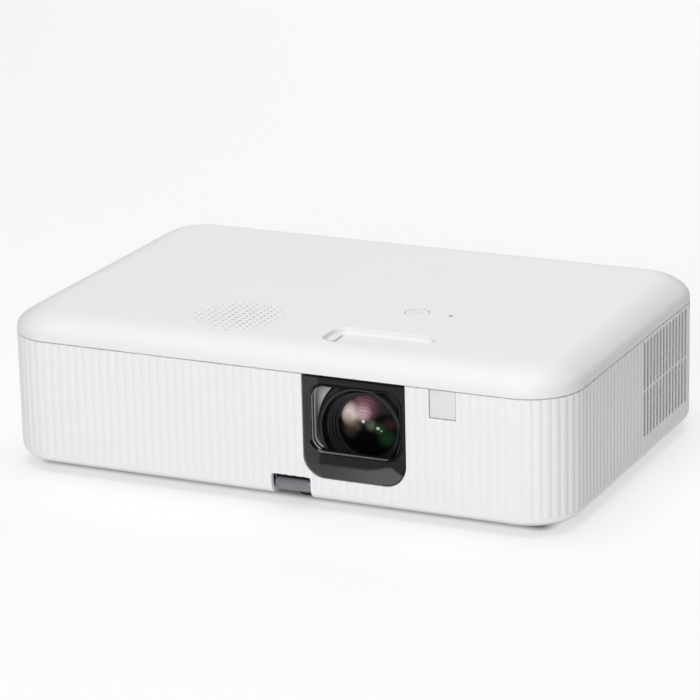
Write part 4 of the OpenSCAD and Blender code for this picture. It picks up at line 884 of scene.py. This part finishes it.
def basin(rows):
    """A solid on the finger recess's outline, each row being how far it stands out of it and its height."""
    rings = []
    for out, z in rows:
        outline = rounded(RECESS_W + 2 * out, RECESS_D + 2 * out, [RECESS_R + out] * 4, 10)
        rings.append([(RECESS.x + u, RECESS.y + v, z) for u, v in outline])
    work = bmesh.new()
    skin(work, rings)
    return new_piece("basin", work)


def lid_shell(columns=352):
    """The crowned lid before anything is cut in it."""
    low = RIM + SEAM
    outside = [(EDGE, low), (EDGE * 0.3, low + EDGE * 0.3), (0, low + EDGE)] + crown(0)
    inside = list(reversed(crown(WALL))) + [(WALL, low)]
    work = bmesh.new()
    outer = skin(work, [case_ring(columns, inset, z) for inset, z in outside], caps=False)
    inner = skin(work, [case_ring(columns, inset, z) for inset, z in inside], caps=False)
    work.faces.new(outer[-1])
    work.faces.new(inner[0])
    for k in range(columns):
        n = (k + 1) % columns
        work.faces.new((outer[0][k], outer[0][n], inner[-1][n], inner[-1][k]))
    return new_piece("lid", work)


def sink_recess(piece):
    """Adds a basin under the lid and hollows the finger recess in it, with rounded foot and flared brim."""
    wall, foot, flare, overlap = 2 * MM, 2.6 * MM, 1.1 * MM, 0.6 * MM
    cut(piece, basin([(wall, RECESS.z - wall), (wall, TOP - WALL + overlap)]), "UNION")
    rows = [(y - foot, RECESS.z + x) for x, y in quarter(foot, 8)]
    rows = [(out, z) for out, z in rows if z < TOP - flare]
    for a in (math.radians(angle) for angle in (15, 35, 55, 72, 86)):
        rows.append((flare - flare * math.cos(a), TOP - flare + flare * math.sin(a)))
    cut(piece, basin(rows + [(flare * 1.4, TOP + 1 * MM)]))


def lid():
    """The lid with its finger recess, slot of the knob, holes for key and light, and speaker holes."""
    piece = lid_shell()
    sink_recess(piece)
    key_r, light_r, deep = 6.78 * MM, 1.1 * MM, 6 * MM
    work = bmesh.new()
    upright(work, circle(key_r, 64), KEY, TOP - deep, TOP + PAST)
    upright(work, circle(light_r, 24), LIGHT, TOP - deep, TOP + PAST)
    knob_x, knob_y, reach = RECESS.x - DOOR_TRAVEL / 2, RECESS.y - 7 * MM, 2.6 * MM
    block(work, (knob_x - reach, knob_y - reach, TOP - 2 * deep),
          (knob_x + reach + DOOR_TRAVEL, knob_y + reach, RECESS.z + 1 * MM))
    cut(piece, new_piece("hole cutter", work))
    cut(piece, perforations("holes"))
    return finish_piece(piece, "upper_case")


# ---------------------------------------------------------------- lens window

def window_ring(gap, behind):
    """The window's outline drawn in by gap, with its top just under the seam."""
    low, high = WINDOW_LOW + gap, RIM - max(0, gap - 0.2 * MM)
    r = WINDOW_ROUND - gap
    outline = rounded(WINDOW_W - 2 * gap, high - low, (r, 0.6 * MM, 0.6 * MM, r), 12)
    return [(LENS.x + u, FRONT + behind, (low + high) / 2 + v) for u, v in outline]


def mouth_ring(grow, behind):
    """The outline of the surround's opening, grown by the given amount."""
    r = MOUTH_ROUND + grow
    outline = rounded(MOUTH_W + 2 * grow, MOUTH_HIGH - MOUTH_LOW + 2 * grow, [r] * 4, 12)
    return [(LENS.x + u, FRONT + behind, (MOUTH_LOW + MOUTH_HIGH) / 2 + v) for u, v in outline]


# Section of the surround in millimetres: how far in from the window's outline, and how far behind the front
SURROUND_RIM = ((0.42, 3.9), (0.42, 1.2), (0.5, 0.9), (0.75, 0.66), (1.2, 0.58))
# The sunk face: share of the way from the rim to the lip, and how far behind the front
SURROUND_FACE = ((0.2, 0.62), (0.4, 0.74), (0.6, 0.95), (0.8, 1.2))
# The lip: how far out from the opening's outline, and how far behind the front
SURROUND_LIP = ((1.8, 1.4), (1.65, 1.15), (1.5, 1.0), (1.3, 0.98), (1.15, 1.1),
                (0.12, 2.25), (0, 2.5), (0, 2.6), (0.3, 2.62), (0.3, 3.9))
# Strips that line the left side of the openings: outer and inner growth of the outline, front and back
LIGHT_STRIPS = ((0.28, 0.0, 2.65, 3.9), (0.38, 0.05, 6.35, 7.7))


def surround():
    """Black frame of the window: a narrow rim, a sunk face and a raised lip that slopes into the opening."""
    rings = [window_ring(gap * MM, behind * MM) for gap, behind in SURROUND_RIM]
    lip = [mouth_ring(grow * MM, behind * MM) for grow, behind in SURROUND_LIP]
    face = list(zip(rings[-1], lip[0]))
    for share, behind in SURROUND_FACE:
        ring = [Vector(a).lerp(Vector(b), share) for a, b in face]
        rings.append([(x, FRONT + behind * MM, z) for x, _, z in ring])
    work = bmesh.new()
    skin(work, rings + lip, closed=True)
    return finish_piece(new_piece("window_surround", work, 50), "lens_bezel")


def shroud():
    """The tunnel round the lens, with light strips that line the left side of the openings in front of it."""
    work = bmesh.new()
    tunnel = copied("lens_shroud")
    work.from_mesh(tunnel.data)
    bpy.data.objects.remove(tunnel)
    for out, inward, front, back in LIGHT_STRIPS:
        corners = ((out, front), (out, back), (inward, back), (inward, front))
        section = [mouth_ring(grow * MM, behind * MM) for grow, behind in corners]
        left = [k for k, point in enumerate(section[0]) if point[0] < LENS.x - MOUTH_SIDE]
        skin(work, [[ring[k] for ring in section] for k in left])
    return finish_piece(new_piece("shroud", work), "lens_shroud")


# Profiles of the lens parts in millimetres: radius, and distance behind the front
RING_PROFILE = ((21.6, 8.6), (21.9, 8.2), (22.2, 8.1), (23.0, 8.1), (23.4, 8.5), (23.4, 12.4),
                (25.5, 12.5), (25.9, 12.9), (25.9, 26.0), (25.6, 26.3), (24.1, 26.3), (24.1, 14.3),
                (22.5, 14.3), (22.5, 9.7), (21.8, 9.5))
BARREL_PROFILE = ((20.15, 15.2), (21.9, 15.2), (22.12, 15.4), (22.12, 39.5), (12, 39.5), (12, 36), (15, 34),
                  (15, 25.5), (17.9, 25.5), (17.9, 20.4), (20.15, 20.4))
RETAINER_PROFILE = ((19.4, 11.5), (19.8, 11.5), (20.0, 11.7), (20.0, 15.2), (17.85, 15.2), (17.85, 20.2),
                    (16.5, 20.2), (16.5, 17.1), (16.7, 16.9), (17.4, 16.9), (17.5, 16.8), (17.5, 14.9),
                    (17.7, 14.7), (18.3, 14.7), (18.4, 14.6), (18.4, 13.1), (18.6, 12.9), (19.1, 12.9),
                    (19.2, 12.8), (19.2, 11.7))


def focus_grip():
    """Ring with a narrow hood and a band of grip ridges round its skirt."""
    ring = new_piece("focus_grip", turned(RING_PROFILE))
    cut(ring, grip_ridges(), "UNION")
    return finish_piece(ring, "focus_ring")


def lens_part(name, profile, node):
    """A plain turned part of the lens."""
    return finish_piece(new_piece(name, turned(profile)), node)


def front_glass():
    """The front lens: a dome with a hollow back."""
    low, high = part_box("front_lens")
    curve, hollow, steps, around = 34 * MM, 40 * MM, 18, 96
    rows = []
    for k in range(1, steps + 1):
        r = GLASS_R * math.sin(math.pi / 2 * k / steps)
        rows.append((r, low.y + curve - math.sqrt(curve ** 2 - r ** 2)))
    edge = math.sqrt(hollow ** 2 - GLASS_R ** 2)
    for k in range(steps):
        r = GLASS_R * math.cos(math.pi / 2 * k / steps)
        rows.append((r, high.y - (math.sqrt(hollow ** 2 - r ** 2) - edge)))
    rings = [[(LENS.x + u, y, LENS.z + v) for u, v in circle(r, around)] for r, y in rows]
    work = bmesh.new()
    made = skin(work, rings, caps=False)
    for ring, y in ((made[0], low.y), (made[-1], high.y - (hollow - edge))):
        tip = work.verts.new((LENS.x, y, LENS.z))
        for i in range(around):
            work.faces.new((ring[i], ring[(i + 1) % around], tip))
    return finish_piece(new_piece("front_glass", work, 60), "front_lens")


# ---------------------------------------------------------------- small pieces

# Sections of the lever's bar: distance from its left end in millimetres, and share of its full thickness
GRIP_SECTIONS = ((0, 0.7), (0.3, 0.86), (0.9, 0.96), (1.8, 1),
                 (18.4, 1), (19.8, 0.93), (20.8, 0.78), (21.3, 0.55))


def lever():
    """Lever of the front foot, with a rounded bar for the fingertip in place of the plain grip, and a plate behind
    the bar that its finish darkens as painted shade.
    """
    piece = copied("foot_lever")
    low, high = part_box("foot_lever")
    half_deep, half_tall, centre_z = 3.05 * MM, 3.8 * MM, low.z + 1.7 * MM
    middle_y, back_y, inset, back_top = low.y + half_deep, low.y + 2 * half_deep, 0.4 * MM, FOOT + 14 * MM
    spare = Vector((1, 1, 1)) * MM
    work = bmesh.new()
    block(work, low - spare, (high.x + spare.x, middle_y, high.z + spare.z))
    cut(piece, new_piece("grip cutter", work))
    # A plate behind the bar fills the notch above it; its finish colours it nearly black, standing in for the
    # shade in the notch.
    work = bmesh.new()
    block(work, (low.x + inset, middle_y, centre_z), (high.x - inset, back_y, back_top))
    cut(ease(piece), new_piece("grip back", work), "UNION")
    rings = [[(low.x + along * MM, middle_y + half_deep * size * u, centre_z + half_tall * size * v)
              for u, v in circle(1, 32)] for along, size in GRIP_SECTIONS]
    work = bmesh.new()
    skin(work, rings)
    cut(piece, new_piece("grip bar", work), "UNION")
    return finish_piece(piece, "foot_lever")


def knob():
    """Finger knob of the lens door, its skirt brought down to the floor of the recess."""
    skirt_low, skirt_high, clear = 0.2 * MM, 0.4 * MM, 0.04 * MM
    piece = copied("door_slider")
    for vert in piece.data.vertices:
        if skirt_low < vert.co.z - RECESS.z < skirt_high:
            vert.co.z = RECESS.z + clear
    return finish_piece(ease(piece, 0.4 * MM, 3), "door_slider")


# ---------------------------------------------------------------- floor and light

# Soft lamps: name, place, the place that they face, width of the square and watts
LAMPS = (("top_box", (-0.1, -0.1, 2.3), (0, 0, 0), 2.0, 44),
         ("front_box", (0.35, -1.8, 0.7), (0, 0, 0), 1.0, 20),
         ("rear_left_box", (-0.9, 2.0, 0.75), (0, 0, 0), 1.2, 5),
         ("rear_right_box", (1.1, 1.9, 0.8), (0, 0, 0), 1.0, 2),
         ("floor_wash", (0, 2.0, 1.5), (0, 2.0, 0), 1.4, 12))


def lay_floor():
    """Pale floor that glows a little, but for the shade under the case."""
    work = bmesh.new()
    block(work, (-6, -6, -0.02), (6, 9, 0))
    floor = new_piece("floor", work)
    pale = Finish("pale floor", (0.35, 0.35, 0.35), 0.9, Emission_Strength=0.6).mottle(0.5, 0.01)
    x, y, _ = pale.axes()
    under, passage, glow, shade = 20 * MM, 10 * MM, (1, 1, 1), (0.1, 0.1, 0.1)
    away = (abs(x) - (HALF_W - under)).at_least(0).length((abs(y) - (HALF_D - under)).at_least(0))
    pale.set(Emission_Color=pale.tint(away.fade(0, passage), glow, shade))
    floor.data.materials.append(pale.material)


def studio():
    """The floor, a dim white room and the soft lamps."""
    lay_floor()
    world = bpy.data.worlds.new("room")
    bpy.context.scene.world = world
    world.use_nodes = True
    room = world.node_tree.nodes["Background"].inputs
    room["Color"].default_value = (1, 1, 1, 1)
    room["Strength"].default_value = 0.01
    for name, place, aim, size, watts in LAMPS:
        lamp = bpy.data.lights.new(name, "AREA")
        lamp.shape, lamp.size, lamp.energy = "SQUARE", size, watts
        box = bpy.data.objects.new(name, lamp)
        back = Vector(place) - Vector(aim)
        box.matrix_world = Matrix.Translation(place) @ back.to_track_quat("Z", "Y").to_matrix().to_4x4()
        bpy.context.scene.collection.objects.link(box)
    bpy.context.scene.view_settings.view_transform = "Standard"


tub_wall = fluted_wall()
door_wall = put("filter_door", tub_wall.data.copy())
tub(tub_wall)
filter_door(door_wall)
lid()
surround()
shroud()
focus_grip()
lens_part("barrel", BARREL_PROFILE, "lens_barrel")
lens_part("front_ring", RETAINER_PROFILE, "lens_retainer")
front_glass()
lever()
knob()
finish_piece(ease(copied("power_button")), "power_button", KEY_PRINT)
for node in ("foot_pad", "rear_feet", "remote_window", "lens_door", "rear_panel", "ac_inlet", "lamp_cover",
             "door_track", "hdmi_port", "usb_port", "service_port"):
    finish_piece(ease(copied(node)), node)
studio()
